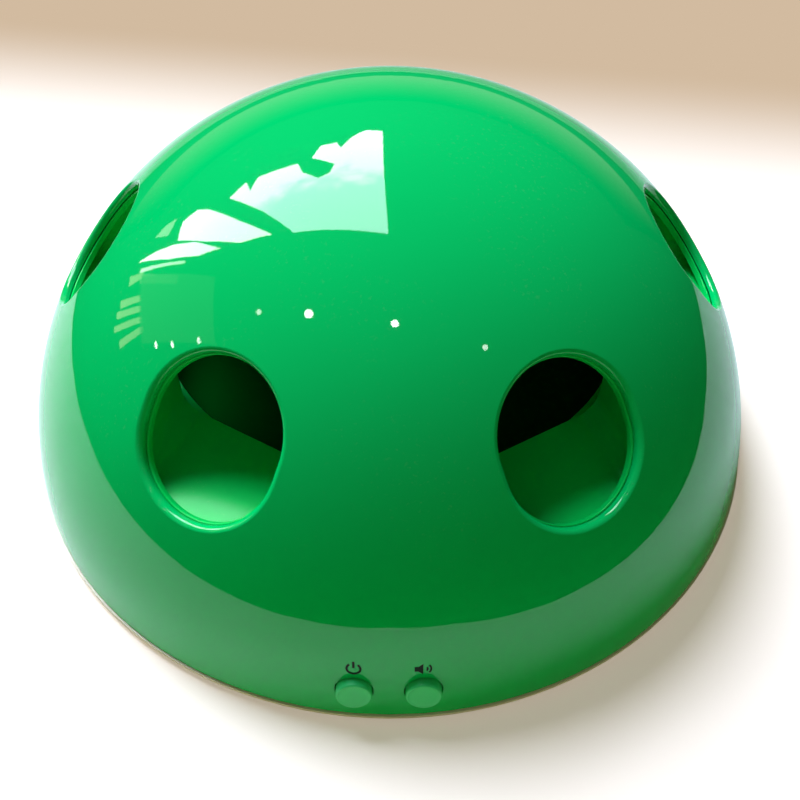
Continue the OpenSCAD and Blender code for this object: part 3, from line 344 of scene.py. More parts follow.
def plastic(name, base, roughness, grain, depth, tone=0.05, scratches=0.0, dust=0.0, **sockets):
    """Moulded plastic: fine grain, a slow change of tone, and on some scratches and dust."""
    tree, shader = finish(name, roughness, **sockets)
    mould = place(tree, "Mould grain", Grain=grain)
    specks = place(tree, "Dust", Amount=dust)["Mask"] if dust else None
    shade(tree, shader, mould["Tone"], base, tone, specks)
    rough = math_node(tree, "MULTIPLY_ADD", ramp(tree, mould["Tone"], 0.2, 0.8), roughness * 0.35,
                      roughness * 0.82)
    if scratches:
        rough = plus(tree, rough, place(tree, "Hairlines", Amount=scratches)["Mask"])
    if dust:
        rough = plus(tree, rough, specks, clamp=True)
    wire(tree, shader, Roughness=rough)
    bump(tree, shader, mould["Height"], 0.35, depth)


def metal(name, base, roughness, lean=(1, 1, 30)):
    """Drawn or turned metal: fine lines along one direction."""
    tree, shader = finish(name, roughness, metallic=1.0)
    drawn = add(tree, "ShaderNodeMapping", {"Vector": coordinates(tree), "Scale": lean})
    lines = noise(tree, drawn.outputs[0], 900.0, 4.0)[0]
    shade(tree, shader, lines, base, 0.12)
    scuffs = place(tree, "Hairlines", Scale=150.0, Amount=0.25)["Mask"]
    rough = math_node(tree, "MULTIPLY_ADD", lines, 0.25, roughness)
    wire(tree, shader, Roughness=plus(tree, rough, scuffs, clamp=True))
    bump(tree, shader, lines, 0.25, 0.00004)


def material(name):
    return bpy.data.materials[name]


def dress(name, *nodes):
    """Puts a finish on CAD nodes, which keep their own shapes."""
    for node in nodes:
        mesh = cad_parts[node].data
        if not mesh.materials:
            mesh.materials.append(material(name))
        for index in range(len(mesh.materials)):
            mesh.materials[index] = material(name)


def carry(piece, body, slot, *nodes):
    """Lets a piece ride on a body, in the place of CAD nodes where some are named."""
    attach(piece, body)
    if nodes:
        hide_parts(*nodes)


# Shapes -------------------------------------------------------------------------------------------


def link(name, data):
    """A new object in the scene."""
    piece = bpy.data.objects.new(name, data)
    bpy.context.scene.collection.objects.link(piece)
    return piece


def new_object(name, verts, faces, finish_name, smooth=None):
    mesh = bpy.data.meshes.new(name)
    mesh.from_pydata([tuple(v) for v in verts], [], [tuple(f) for f in faces])
    mesh.materials.append(material(finish_name))
    piece = link(name, mesh)
    tidy(piece, smooth)
    return piece


def smooth_up_to(piece, degrees):
    piece.data.shade_smooth()
    piece.data.set_sharp_from_angle(angle=math.radians(degrees))


def tidy(piece, smooth=None):
    """Joins doubles, turns faces outwards, and shades smooth up to an angle in degrees."""
    b = bmesh.new()
    b.from_mesh(piece.data)
    bmesh.ops.remove_doubles(b, verts=b.verts, dist=1e-6)
    bmesh.ops.recalc_face_normals(b, faces=b.faces)
    b.to_mesh(piece.data)
    b.free()
    if smooth is not None:
        smooth_up_to(piece, smooth)


def baked(piece, name):
    """The evaluated object as a plain mesh, in place of the one with live modifiers."""
    graph = bpy.context.evaluated_depsgraph_get()
    mesh = bpy.data.meshes.new_from_object(
        piece.evaluated_get(graph), preserve_all_data_layers=True, depsgraph=graph)
    piece.modifiers.clear()
    piece.data = mesh
    piece.name = mesh.name = name
    return piece


def cut_away(piece, tool, name):
    """Takes the tool's volume out of the piece, and the tool away."""
    cut = piece.modifiers.new(tool.name, "BOOLEAN")
    cut.operation, cut.solver, cut.object = "DIFFERENCE", "EXACT", tool
    baked(piece, name)
    bpy.data.objects.remove(tool)


def geometry_tree(name, *inputs):
    """A new geometry node tree. inputs are (name, kind of socket, default or None)."""
    tree = bpy.data.node_groups.new(name, "GeometryNodeTree")
    for label, kind, default in (("Geometry", "Geometry", None), *inputs):
        socket = tree.interface.new_socket(label, in_out="INPUT", socket_type="NodeSocket" + kind)
        if default is not None:
            socket.default_value = default
    tree.interface.new_socket("Geometry", in_out="OUTPUT", socket_type="NodeSocketGeometry")
    return tree, tree.nodes.new("NodeGroupInput").outputs, tree.nodes.new("NodeGroupOutput").inputs


def copies_out(tree, values, i, o, tone=None, weld=False):
    """Ends a tree: copies at points, each with its tone or all welded, made real with a finish."""
    made = add(tree, "GeometryNodeInstanceOnPoints", values).outputs[0]
    if tone is not None:
        made = add(tree, "GeometryNodeStoreNamedAttribute", {
            "Geometry": made, "Name": "tint", "Value": tone}, data_type="FLOAT",
            domain="INSTANCE").outputs[0]
    made = add(tree, "GeometryNodeRealizeInstances", {0: made}).outputs[0]
    if weld:
        made = add(tree, "GeometryNodeMergeByDistance", {"Geometry": made,
                                                         "Distance": i["Weld"]}).outputs[0]
    done = add(tree, "GeometryNodeSetMaterial", {"Geometry": made, "Material": i["Material"]})
    tree.links.new(done.outputs[0], o["Geometry"])
    return tree


def use_tree(piece, tree, **values):
    """Adds the tree as a modifier, with its inputs set by their identifiers."""
    modifier = piece.modifiers.new(tree.name, "NODES")
    modifier.node_group = tree
    for item in tree.interface.items_tree:
        if item.in_out == "INPUT" and item.name in values:
            modifier[item.identifier] = values[item.name]


def ring_tree():
    """Geometry nodes: the mesh repeated round the upright axis, its seams joined."""
    tree, i, o = geometry_tree("Round the axis", ("Count", "Int", 6), ("Start", "Float", 0.0),
                               ("Weld", "Float", 1e-6), ("Material", "Material", None))
    points = add(tree, "GeometryNodePoints", {"Count": i["Count"]})
    step = math_node(tree, "DIVIDE", math.tau, i["Count"])
    order = add(tree, "GeometryNodeInputIndex").outputs[0]
    turn = add(tree, "ShaderNodeCombineXYZ", {2: plus(tree, times(tree, order, step), i["Start"])})
    return copies_out(tree, {"Points": points.outputs[0], "Instance": i["Geometry"],
                             "Rotation": turn.outputs[0]}, i, o, weld=True)


def pile_tree():
    """Geometry nodes: short bent hairs over a mesh, combed one way, as thick as "pile" says."""
    tree, i, o = geometry_tree("Plush pile", ("Density", "Float", 1e6), ("Length", "Float", 0.0016),
                               ("Width", "Float", 0.00012), ("Lay", "Vector", None),
                               ("Rise", "Float", 0.6), ("Seed", "Int", 0),
                               ("Material", "Material", None))
    bow, stray = 0.45, (0.45,) * 3
    thick = add(tree, "GeometryNodeInputNamedAttribute", {"Name": "pile"},
                data_type="FLOAT").outputs[0]
    spots = add(tree, "GeometryNodeDistributePointsOnFaces", {
        "Mesh": i["Geometry"], "Density": times(tree, i["Density"], thick), "Seed": i["Seed"]},
        distribute_method="RANDOM").outputs
    cone = add(tree, "GeometryNodeMeshCone", {
        "Vertices": 3, "Side Segments": 2, "Radius Top": 0.0, "Radius Bottom": i["Width"],
        "Depth": i["Length"]}, fill_type="NONE")
    high = parts(tree, add(tree, "GeometryNodeInputPosition").outputs[0])[2]
    bend = math_node(tree, "DIVIDE", times(tree, times(tree, high, high), bow), i["Length"])
    hair = add(tree, "GeometryNodeSetPosition", {
        "Geometry": cone.outputs[0],
        "Offset": add(tree, "ShaderNodeCombineXYZ", {0: bend}).outputs[0]})
    out = spots["Normal"]
    dip = vector_node(tree, "SCALE", out, scale=vector_node(tree, "DOT_PRODUCT", out, i["Lay"]))
    lean = vector_node(tree, "ADD", vector_node(tree, "SUBTRACT", i["Lay"], dip),
                       vector_node(tree, "SCALE", out, scale=i["Rise"]))
    astray = random_node(tree, tuple(-k for k in stray), stray, i["Seed"])
    lean = vector_node(tree, "ADD", lean, astray)
    spin = add(tree, "ShaderNodeCombineXYZ", {2: random_node(tree, 0.0, math.tau, i["Seed"])})
    turn = add(tree, "FunctionNodeAlignRotationToVector", {"Rotation": spin.outputs[0],
                                                           "Vector": lean}, axis="Z")
    size = times(tree, random_node(tree, 0.7, 1.1, i["Seed"]),
                 plus(tree, times(tree, thick, 0.5), 0.5))
    return copies_out(tree, {"Points": spots["Points"], "Instance": hair.outputs[0],
                             "Rotation": turn.outputs[0], "Scale": size}, i, o,
                      tone=random_node(tree, 0.25, 1.0, i["Seed"]))


def stitch_tree():
    """Geometry nodes: running stitches along the edges of a mesh."""
    tree, i, o = geometry_tree("Stitches", ("Pitch", "Float", 0.0018), ("Length", "Float", 0.0011),
                               ("Thread", "Float", 0.0002), ("Material", "Material", None))
    path = add(tree, "GeometryNodeMeshToCurve", {"Mesh": i["Geometry"]})
    spots = add(tree, "GeometryNodeCurveToPoints", {"Curve": path.outputs[0], "Length": i["Pitch"]},
                mode="LENGTH").outputs
    bead = add(tree, "GeometryNodeMeshUVSphere", {"Segments": 6, "Rings": 4, "Radius": 1.0})
    size = add(tree, "ShaderNodeCombineXYZ", {0: i["Thread"], 1: i["Thread"],
                                              2: times(tree, i["Length"], 0.5)})
    return copies_out(tree, {"Points": spots["Points"], "Instance": bead.outputs[0],
                             "Rotation": spots["Rotation"], "Scale": size.outputs[0]}, i, o)


def circle(sides):
    """Angles of equal steps once round."""
    return np.linspace(0, math.tau, sides, endpoint=False)


def belt(low, high, n):
    """Faces between two rings of n points, whose first points have the numbers low and high."""
    return [(low + k, low + (k + 1) % n, high + (k + 1) % n, high + k) for k in range(n)]


def joined(forms):
    """Several forms, each of points and faces, as one."""
    verts, faces = [], []
    for more, sides in forms:
        faces += [tuple(k + len(verts) for k in face) for face in sides]
        verts += more
    return verts, faces


def lathe(rows, sides, matrix):
    """A closed form turned about its x axis. rows are (x, radius), the first and last its poles."""
    verts, faces = [(rows[0][0], 0, 0)], []
    for x, r in rows[1:-1]:
        verts += [(x, r * math.sin(a), r * math.cos(a)) for a in circle(sides)]
    verts.append((rows[-1][0], 0, 0))
    last = len(rows) - 3
    for k in range(sides):
        m = (k + 1) % sides
        faces.append((0, 1 + m, 1 + k))
        faces.append((len(verts) - 1, 1 + last * sides + k, 1 + last * sides + m))
        for j in range(last):
            a = 1 + j * sides
            faces.append((a + k, a + m, a + sides + m, a + sides + k))
    return [matrix @ Vector(v) for v in verts], faces


def tube(points, radii, sides, across, lobes=0, turns=0.0):
    """A closed tube through the points. With lobes it is laid like a twisted cord."""
    verts, faces, n = [], [], len(points)
    groove = 0.09
    for k, point in enumerate(points):
        ahead = (points[min(k + 1, n - 1)] - points[max(k - 1, 0)]).normalized()
        out = ahead.cross(across).normalized()
        side = out.cross(ahead)
        for a in circle(sides):
            wave = 1 + math.cos(lobes * a - math.tau * turns * k / (n - 1))
            r = radii[k] * (1 - groove * wave) if lobes else radii[k]
            verts.append(point + r * (math.cos(a) * out + math.sin(a) * side))
    for k in range(n - 1):
        faces += belt(k * sides, (k + 1) * sides, sides)
    faces += [tuple(range(sides)), tuple(range((n - 1) * sides, n * sides))]
    return verts, faces


def thread(name, rings, finish_name, **values):
    """Stitches along closed rings of points."""
    verts, edges = [], []
    for points in rings:
        base, n = len(verts), len(points)
        verts += [tuple(p) for p in points]
        edges += [(base + k, base + (k + 1) % n) for k in range(n)]
    mesh = bpy.data.meshes.new(name)
    mesh.from_pydata(verts, edges, [])
    piece = link(name, mesh)
    use_tree(piece, stitch_tree(), Material=material(finish_name), **values)
    baked(piece, name)
    tidy(piece, 60)
    return piece


class Ball:
    """The ball that the dome is a cap of."""

    def __init__(self):
        s = settings().shell
        drop = (s.rim_radius ** 2 - s.rise ** 2) / (2 * s.rise)
        self.rim_z = SHELL_LOW[2]
        self.outer = s.rise + drop
        self.inner = self.outer - s.wall
        self.centre = np.array([0, 0, self.rim_z - drop])

    def roof(self, r, radius):
        """Height of a ball of that radius about the same centre, at r from the upright axis."""
        return self.centre[2] + math.sqrt(max(0, radius ** 2 - r ** 2))


def axes(azimuth, rise):
    """Rows: down the ball, round the ball, out of the ball."""
    ca, sa, cr, sr = math.cos(azimuth), math.sin(azimuth), math.cos(rise), math.sin(rise)
    return np.array([[ca * sr, sa * sr, -cr], [-sa, ca, 0], [ca * cr, sa * cr, sr]])


def points_of(mesh):
    spots = np.empty(len(mesh.vertices) * 3)
    mesh.vertices.foreach_get("co", spots)
    return spots.reshape(-1, 3)


def reach(out, way, sine):
    """Angle from the hole's axis, along one way, to the wedge's wall or to the rim."""
    options = []
    for sign in (1, -1):
        wall = np.array([-0.5, sign * math.cos(HALF_WEDGE), 0])
        options.append(math.atan2(-(wall @ out), wall @ way) % math.pi)
    size = math.hypot(out[2], way[2])
    if abs(sine) < size:
        top, swing = math.atan2(way[2], out[2]), math.acos(sine / size)
        options += [(top + swing) % math.tau, (top - swing) % math.tau]
    return min(t for t in options if t > 1e-6)


def shell_wedge(ball, half_steps=36, rings=16, lip_steps=12):
    """One sixth of the dome about a paw hole: two skins, the lip swept round it, bore and rim."""
    s = settings().shell
    half, lip = s.hole_width / 2, s.lip
    # The hole's outline: two half circles, parted by a turn up and a turn down the ball
    turn = math.asin(s.hole_stretch / 2 / ball.outer)
    outline = [(a, turn) for a in np.linspace(-90, 90, half_steps + 1)]
    outline += [(90, t) for t in np.linspace(turn, -turn, 4)[1:-1]]
    outline += [(a, -turn) for a in np.linspace(90, 270, half_steps + 1)]
    outline += [(270, t) for t in np.linspace(-turn, turn, 4)[1:-1]]
    n = len(outline)
    down, side, out = rows_of_hole = axes(0, s.hole_rise)
    # The lip's section, round from the outer skin into the bore: (from the axis, from the centre)
    lip_q = half + lip
    lip_w = math.sqrt((ball.outer - lip) ** 2 - lip_q ** 2)
    start = math.atan2(lip_w, lip_q)
    profile = [(lip_q + lip * math.cos(a), lip_w + lip * math.sin(a))
               for a in np.linspace(start, math.pi, lip_steps + 1)]
    profile.append((half, math.sqrt(ball.inner ** 2 - half ** 2)))
    verts, faces = [], []

    def swept(q, w, degrees, t):
        a = math.radians(degrees)
        x, y = q * math.cos(a), q * math.sin(a)
        return np.array([x * math.cos(t) + w * math.sin(t), y, w * math.cos(t) - x * math.sin(t)])

    def band(rows):
        """Quads between rows of points that run round the hole."""
        for j, row in enumerate(rows):
            if j:
                faces.extend(belt(len(verts) - n, len(verts), n))
            verts.extend(row)

    def skin(radius, q, w):
        """Points from the hole's edge to the edge of the wedge, all on one ball."""
        edge = np.array([swept(q, w, a, t) for a, t in outline])
        edge /= np.linalg.norm(edge, axis=1)[:, None]
        psi, near = np.arctan2(edge[:, 1], edge[:, 0]), np.arccos(edge[:, 2])
        sine = (ball.rim_z - ball.centre[2]) / radius
        far = np.array([reach(out, down * math.cos(p) + side * math.sin(p), sine) for p in psi])
        psi_far = psi.copy()
        # One point goes to each corner of the wedge
        r = math.sqrt(1 - sine * sine)
        for corner in ((r * math.cos(HALF_WEDGE), r * 0.5, sine),
                       (r * math.cos(HALF_WEDGE), -r * 0.5, sine), (0, 0, 1.0)):
            p = math.atan2(side @ corner, down @ corner)
            k = int(np.argmin(np.abs((psi - p + math.pi) % math.tau - math.pi)))
            psi_far[k], far[k] = p, math.acos(np.clip(out @ corner, -1, 1))
        delta = (psi_far - psi + math.pi) % math.tau - math.pi
        rows = []
        for j in range(rings + 1):
            share = (j / rings) ** 1.25
            t = (near * (1 - share) + far * share)[:, None]
            p = (psi + delta * share)[:, None]
            way = down[None] * np.cos(p) + side[None] * np.sin(p)
            rows.append(ball.centre + radius * (out[None] * np.cos(t) + way * np.sin(t)))
        return rows

    outer, inner = skin(ball.outer, *profile[0]), skin(ball.inner, *profile[-1])
    band(outer)
    band(inner)
    band([[ball.centre + swept(q, w, a, t) @ rows_of_hole for a, t in outline] for q, w in profile])
    # The rim, only where the wedge ends on it
    base = len(verts)
    low = [abs(spot[2] - ball.rim_z) < 1e-7 for spot in outer[-1]]
    verts.extend(outer[-1])
    verts.extend(inner[-1])
    faces += [face for k, face in enumerate(belt(base, base + n, n)) if low[k] and low[(k + 1) % n]]
    return verts, faces


def shell_boss(ball, sides=32, steps=8):
    """The screw boss and its gusset under one paw hole."""
    at = settings().shell.rim_radius - 0.013
    wide, pilot = 0.004, 0.00136
    foot, pilot_top, gusset_low = 0.0073, ball.rim_z + 0.018, ball.rim_z + 0.0065
    verts, faces = [], []

    def ring(radius, height):
        """Points round the boss, at a height or, without one, just inside the dome's wall."""
        for k in range(sides):
            a = math.tau * k / sides
            x, y = at + radius * math.cos(a), radius * math.sin(a)
            verts.append((x, y, height or ball.roof(math.hypot(x, y), ball.inner + 0.0008)))
        return len(verts) - sides

    loops = [ring(wide, None), ring(wide, foot), ring(pilot, foot), ring(pilot, pilot_top)]
    for a, b in zip(loops, loops[1:]):
        faces += [(a + k, b + k, b + (k + 1) % sides, a + (k + 1) % sides) for k in range(sides)]
    faces += [tuple(range(loop, loop + sides)) for loop in (loops[0], loops[-1])]
    base, wall, root = len(verts), ball.inner + 0.0006, at + 0.003
    far = math.sqrt(ball.inner ** 2 - (gusset_low - ball.centre[2]) ** 2)
    rows = [(root, gusset_low), (far + 0.0006, gusset_low)]
    for k in range(steps):
        z = gusset_low + (ball.roof(root, wall) - gusset_low) * (k + 1) / steps
        rows.append((math.sqrt(wall ** 2 - (z - ball.centre[2]) ** 2), z))
    for y in (-0.0008, 0.0008):
        verts.extend((x, y, z) for x, z in rows)
    n = len(rows)
    faces += [tuple(range(base, base + n)), tuple(range(base + n, base + 2 * n))]
    return verts, faces + belt(base, base + n, n)


def cylinder(centre, rows, radius, low, high, sides=96):
    """A cylinder along the last of the axes' rows."""
    verts = []
    for h in (low, high):
        for k in range(sides):
            a = math.tau * k / sides
            verts.append(centre + np.array([radius * math.cos(a), radius * math.sin(a), h]) @ rows)
    return verts, [tuple(range(sides)), tuple(range(sides, 2 * sides)), *belt(0, sides, sides)]


def polish(piece, ball, limit=0.94, near=6e-5):
    """Exact normals where a corner lies on a skin of the dome, so that the gloss has no facets."""
    mesh = piece.data
    normals, corner = np.empty(len(mesh.loops) * 3), np.empty(len(mesh.loops), dtype=np.int32)
    mesh.corner_normals.foreach_get("vector", normals)
    mesh.loops.foreach_get("vertex_index", corner)
    normals = normals.reshape(-1, 3)
    out = points_of(mesh)[corner] - ball.centre
    far = np.linalg.norm(out, axis=1)
    out /= far[:, None]
    lean = (out * normals).sum(1)
    for radius, sign in ((ball.outer, 1), (ball.inner, -1)):
        skin = (abs(far - radius) < near) & (lean * sign > limit)
        normals[skin] = sign * out[skin]
    mesh.normals_split_custom_set([tuple(n) for n in normals])


# Operators ----------------------------------------------------------------------------------------


class CATTOY_OT_finishes(bpy.types.Operator):
    """Make the shared shader groups and every finish of the toy"""

    bl_idname = "cattoy.finishes"
    bl_label = "Finishes"

    def execute(self, context):
        c = settings().colours
        build_effects()
        plastic("Gloss green", c.shell, 0.028, 900.0, 0.000004, tone=0.02, scratches=0.05,
                dust=0.05, IOR=1.5)
        plastic("Sleeve green", c.sleeves, 0.17, 260.0, 0.00006, tone=0.04, scratches=0.06,
                dust=0.03, Specular_IOR_Level=0.17)
        plastic("Button green", c.buttons, 0.2, 2600.0, 0.00001, tone=0.03)
        # Painted shade: near-black green without gloss, so the turntable reads as the dark inside
        # of the dome
        plastic("Matt green", (0.0, 0.05, 0.004), 0.7, 2400.0, 0.00003, tone=0.08,
                Specular_IOR_Level=0.0)
        plastic("Cream", c.base, 0.38, 2600.0, 0.00003, tone=0.03, dust=0.05)
        plastic("Black plastic", (0.012, 0.012, 0.013), 0.42, 2400.0, 0.00003, tone=0.1, dust=0.12)
        plastic("Dark green plastic", (0.002, 0.06, 0.016), 0.34, 2400.0, 0.00002, tone=0.08,
                dust=0.06)
        plastic("White gear", (0.80, 0.80, 0.75), 0.36, 1800.0, 0.00002, tone=0.03, dust=0.05)
        plastic("Foot rubber", (0.022, 0.022, 0.023), 0.72, 3200.0, 0.00006, tone=0.12, dust=0.3)
        plastic("Mouse eye", (0.004, 0.004, 0.005), 0.06, 900.0, 0.000003, tone=0.02)
        plastic("Print", c.print_ink, 0.45, 2600.0, 0.000006, tone=0.1, Specular_IOR_Level=0.2)
        plastic("Thread", (0.05, 0.045, 0.042), 0.75, 1500.0, 0.00003, tone=0.2)
        plastic("Whisker", (0.72, 0.72, 0.69), 0.3, 1500.0, 0.00001)
        metal("Steel", (0.62, 0.62, 0.63), 0.24)
        metal("Turned steel", (0.66, 0.66, 0.67), 0.2, lean=(30, 30, 1))
        metal("Brass", (0.78, 0.48, 0.2), 0.28)
        self.board()
        self.cell()
        self.paper()
        self.cloth("Plush", c.fur, 0.28, 900.0, 0.0004)
        self.cloth("Felt", c.felt, 0.16, 1100.0, 0.0002)
        self.cloth("Grey felt", [min(1, k * 1.25) for k in c.fur], 0.18, 1100.0, 0.0002)
        return {"FINISHED"}

    def board(self):
        """Circuit board: green lacquer over straight copper tracks and round pads."""
        tree, shader = finish("Circuit board", 0.32)
        where = coordinates(tree)
        cells = add(tree, "ShaderNodeTexBrick", {
            "Vector": where, "Scale": 1.0, "Mortar Size": 0.00022, "Brick Width": 0.0052,
            "Row Height": 0.0013, "Mortar Smooth": 0.1})
        pads = add(tree, "ShaderNodeTexVoronoi", {"Vector": where, "Scale": 260.0,
                                                  "Randomness": 0.25})
        dots = ramp(tree, pads.outputs["Distance"], 0.22, 0.17)
        tracks = times(tree, cells.outputs["Fac"], 0.55)
        lacquer = mix(tree, tracks, (0.008, 0.085, 0.03), (0.03, 0.2, 0.075))
        tinned = mix(tree, dots, lacquer, (0.62, 0.60, 0.52))
        wire(tree, shader, Base_Color=tinned, Metallic=dots)
        bump(tree, shader, plus(tree, tracks, dots), 0.5, 0.00004)

    def cell(self):
        """Battery cell: a dark sleeve with a plain grey band, and bare metal at its ends."""
        tree, shader = finish("Cell jacket", 0.3)
        middle, half = (CELL_LOW[0] + CELL_HIGH[0]) / 2, (CELL_HIGH[0] - CELL_LOW[0]) / 2
        along = math_node(tree, "SUBTRACT", parts(tree, coordinates(tree))[0], middle)
        along = math_node(tree, "ABSOLUTE", along)
        bare = ramp(tree, along, half - 0.0021, half - 0.0019)
        band = times(tree, ramp(tree, along, 0.0130, 0.0132), ramp(tree, along, 0.0152, 0.0150))
        mould = place(tree, "Mould grain", Grain=600.0)
        dark = mix(tree, mould["Tone"], (0.03, 0.03, 0.034), (0.042, 0.042, 0.046))
        sleeve = mix(tree, band, dark, (0.34, 0.34, 0.35))
        sleeve = mix(tree, bare, sleeve, (0.62, 0.62, 0.6))
        wire(tree, shader, Base_Color=sleeve, Metallic=bare)
        bump(tree, shader, mould["Height"], 0.3, 0.000008)

    def paper(self):
        """Speaker cone: pressed paper with rings."""
        tree, shader = finish("Speaker paper", 0.85)
        mould = place(tree, "Mould grain", Grain=1800.0, Cloud=90.0)
        shade(tree, shader, mould["Tone"], (0.05, 0.048, 0.045), 0.25)
        bump(tree, shader, mould["Height"], 0.6, 0.00012)

    def cloth(self, name, base, spread, scale, depth):
        """Felt or plush: short loose fibres with a soft sheen."""
        tree, shader = finish(name, 0.92, Sheen_Weight=0.35, Sheen_Roughness=0.4)
        fibre = place(tree, "Fibres", Scale=scale)
        tuft = times(tree, fibre["Tone"], 0.4)
        tone = math_node(tree, "MULTIPLY_ADD", fibre["Height"], 0.6, tuft)
        if name == "Plush":
            # Each hair of the pile has its own tone, over the darker backing
            hair = add(tree, "ShaderNodeAttribute", attribute_name="tint").outputs["Fac"]
            tone = plus(tree, times(tree, tone, 0.4), times(tree, hair, 0.6))
        shade(tree, shader, tone, base, spread)
        bump(tree, shader, fibre["Height"], 0.7, depth)


class CATTOY_OT_dome(bpy.types.Operator):
    """Make the gloss dome: one sixth of it, six times round the axis, with two button holes"""

    bl_idname = "cattoy.dome"
    bl_label = "Dome"

    def execute(self, context):
        s = settings().shell
        ball, tree = Ball(), ring_tree()
        shell = new_object("dome", *shell_wedge(ball), "Gloss green")
        use_tree(shell, tree, Material=material("Gloss green"))
        baked(shell, "dome")
        tidy(shell)
        rows = axes(FRONT, s.button_rise)
        bores = joined(cylinder(ball.centre + side * s.button_gap / 2 * rows[1], rows,
                                s.button_bore / 2, ball.inner - 0.008, ball.outer + 0.012)
                       for side in (-1, 1))
        cut_away(shell, new_object("bores", *bores, "Gloss green"), "dome")
        smooth_up_to(shell, 32)
        polish(shell, ball)
        carry(shell, "base", "green_shell", "dome_shell")
        posts = new_object("dome_bosses", *shell_boss(ball), "Sleeve green")
        use_tree(posts, tree, Weld=1e-7, Material=material("Sleeve green"))
        baked(posts, "dome_bosses")
        tidy(posts, 40)
        carry(posts, "base", "green_shell", "dome_shell")
        return {"FINISHED"}


class CATTOY_OT_sleeves(bpy.types.Operator):
    """Finish the six sleeves behind the paw holes and the deck that carries them"""

    bl_idname = "cattoy.sleeves"
    bl_label = "Sleeves and deck"

    def execute(self, context):
        dress("Sleeve green", *CHUTES, "deck_plate")
        return {"FINISHED"}


class CATTOY_OT_base(bpy.types.Operator):
    """Finish the base, its battery door, its feet and the screws"""

    bl_idname = "cattoy.base"
    bl_label = "Base"

    def execute(self, context):
        dress("Cream", "base_plate", "battery_door")
        dress("Foot rubber", "rubber_feet")
        dress("Steel", "case_screws", "deck_screws", "board_screws", "door_screw")
        return {"FINISHED"}


class CATTOY_OT_buttons(bpy.types.Operator):
    """Finish the two push buttons, what they press, and the signs above them"""

    bl_idname = "cattoy.buttons"
    bl_label = "Buttons and signs"

    def execute(self, context):
        dress("Button green", "power_button", "sound_button")
        dress("Black plastic", "power_plunger", "sound_plunger", "power_switch", "sound_switch")
        dress("Circuit board", "button_board")
        gap = settings().shell.button_gap / 2
        ball = Ball()
        down, side, out = axes(FRONT, settings().shell.button_rise)
        turn = Matrix([(*row, 0) for row in np.array([out, side, -down]).T] + [(0, 0, 0, 1)])
        # A rimmed face over each button's end: (distance from the ball's centre, radius)
        rim = [(0.1185, 0), (0.1185, 0.00477), (0.12225, 0.00477), (0.12258, 0.0047),
               (0.1228, 0.00455), (0.1229, 0.00435), (0.1229, 0.0042), (0.12283, 0.004),
               (0.12276, 0.0038), (0.12273, 0.003), (0.12273, 0)]
        for name, at in (("power_button", -gap), ("sound_button", gap)):
            stand = Matrix.Translation(ball.centre + at * side) @ turn
            cap = new_object(name + "_face", *lathe(rim, 64, stand), "Button green", 50)
            carry(cap, name, "green_button")
        self.sign("sign_power", -gap, [self.arc(0.00148, 0.00208, 128, 412),
                                       self.bar(0, 0.0014, 0.0006, 0.0022)])
        horn = [(-0.0025, -0.0008), (-0.0015, -0.0008), (-0.0003, -0.0019), (-0.0003, 0.0019),
                (-0.0015, 0.0008), (-0.0025, 0.0008)]
        self.sign("sign_sound", gap, [horn, self.arc(0.0006, 0.0011, -42, 42),
                                      self.arc(0.0015, 0.0020, -45, 45)])
        return {"FINISHED"}

    def arc(self, low, high, start, end, steps=24):
        turns = np.radians(np.linspace(start, end, steps + 1))
        return [(high * math.cos(a), high * math.sin(a)) for a in turns] + \
            [(low * math.cos(a), low * math.sin(a)) for a in turns[::-1]]

    def bar(self, x, y, width, height):
        corners = ((-1, -1), (1, -1), (1, 1), (-1, 1))
        return [(x + i * width / 2, y + j * height / 2) for i, j in corners]

    def sign(self, name, side, outlines, ink_half=0.00004):
        """A generic sign printed above a button: thin inked shapes that follow the ball."""
        ball = Ball()
        down, across, out = axes(FRONT, settings().shell.button_rise + math.radians(4.0))
        verts, faces = [], []
        for outline in outlines:
            n, base = len(outline), len(verts)
            for lift in (ink_half, -ink_half):
                for x, y in outline:
                    p = -y * down + (x + side) * across + ball.outer * out
                    verts.append(ball.centre + p / np.linalg.norm(p) * (ball.outer + lift))
            if n > 6:  # an arc
                covers = [(k, k + 1, n - 2 - k, n - 1 - k) for k in range(n // 2 - 1)]
            elif n == 6:  # the horn
                covers = [(0, 1, 4, 5), (1, 2, 3, 4)]
            else:
                covers = [range(n)]
            for cover in covers:
                faces += [tuple(base + v for v in cover), tuple(base + n + v for v in cover)]
            faces += belt(base, base + n, n)
        carry(new_object(name, verts, faces, "Print"), "base", "black_plastic")


class CATTOY_OT_drive(bpy.types.Operator):
    """Finish the turntable's drive and the mouse's launcher"""

    bl_idname = "cattoy.drive"
    bl_label = "Drive and launcher"

    def execute(self, context):
        # Painted shade: the turntable is near-black green so the inside of the dome looks dark
        dress("Matt green", "turntable")
        dress("Dark green plastic", "launcher_frame", "rack_arm", "launch_gear")
        dress("White gear", "idler_gear", "table_gear", "motor_pinion", "launch_pinion")
        dress("Turned steel", "spindle", "thrust_washer", "spindle_clip", "idler_pin", "idler_clip",
              "motor_shaft", "launch_axle", "launch_clip", "launch_shaft")
        dress("Steel", "flat_motor", "mount_screws")
        dress("Black plastic", "launch_motor", "launch_motor_clip")
        dress("Brass", "slip_tracks", "slip_brushes")
        dress("Circuit board", "slip_board")
        return {"FINISHED"}


class CATTOY_OT_power(bpy.types.Operator):
    """Finish the battery box, the cells, the boards and the speaker"""

    bl_idname = "cattoy.power"
    bl_label = "Power and sound"

    def execute(self, context):
        dress("Cream", "battery_box")
        dress("Cell jacket", "cell_front", "cell_middle", "cell_back")
        dress("Steel", "battery_contacts", "speaker_frame")
        dress("Speaker paper", "speaker_cone")
        dress("Circuit board", "main_board")
        dress("Black plastic", "board_chips")
        return {"FINISHED"}


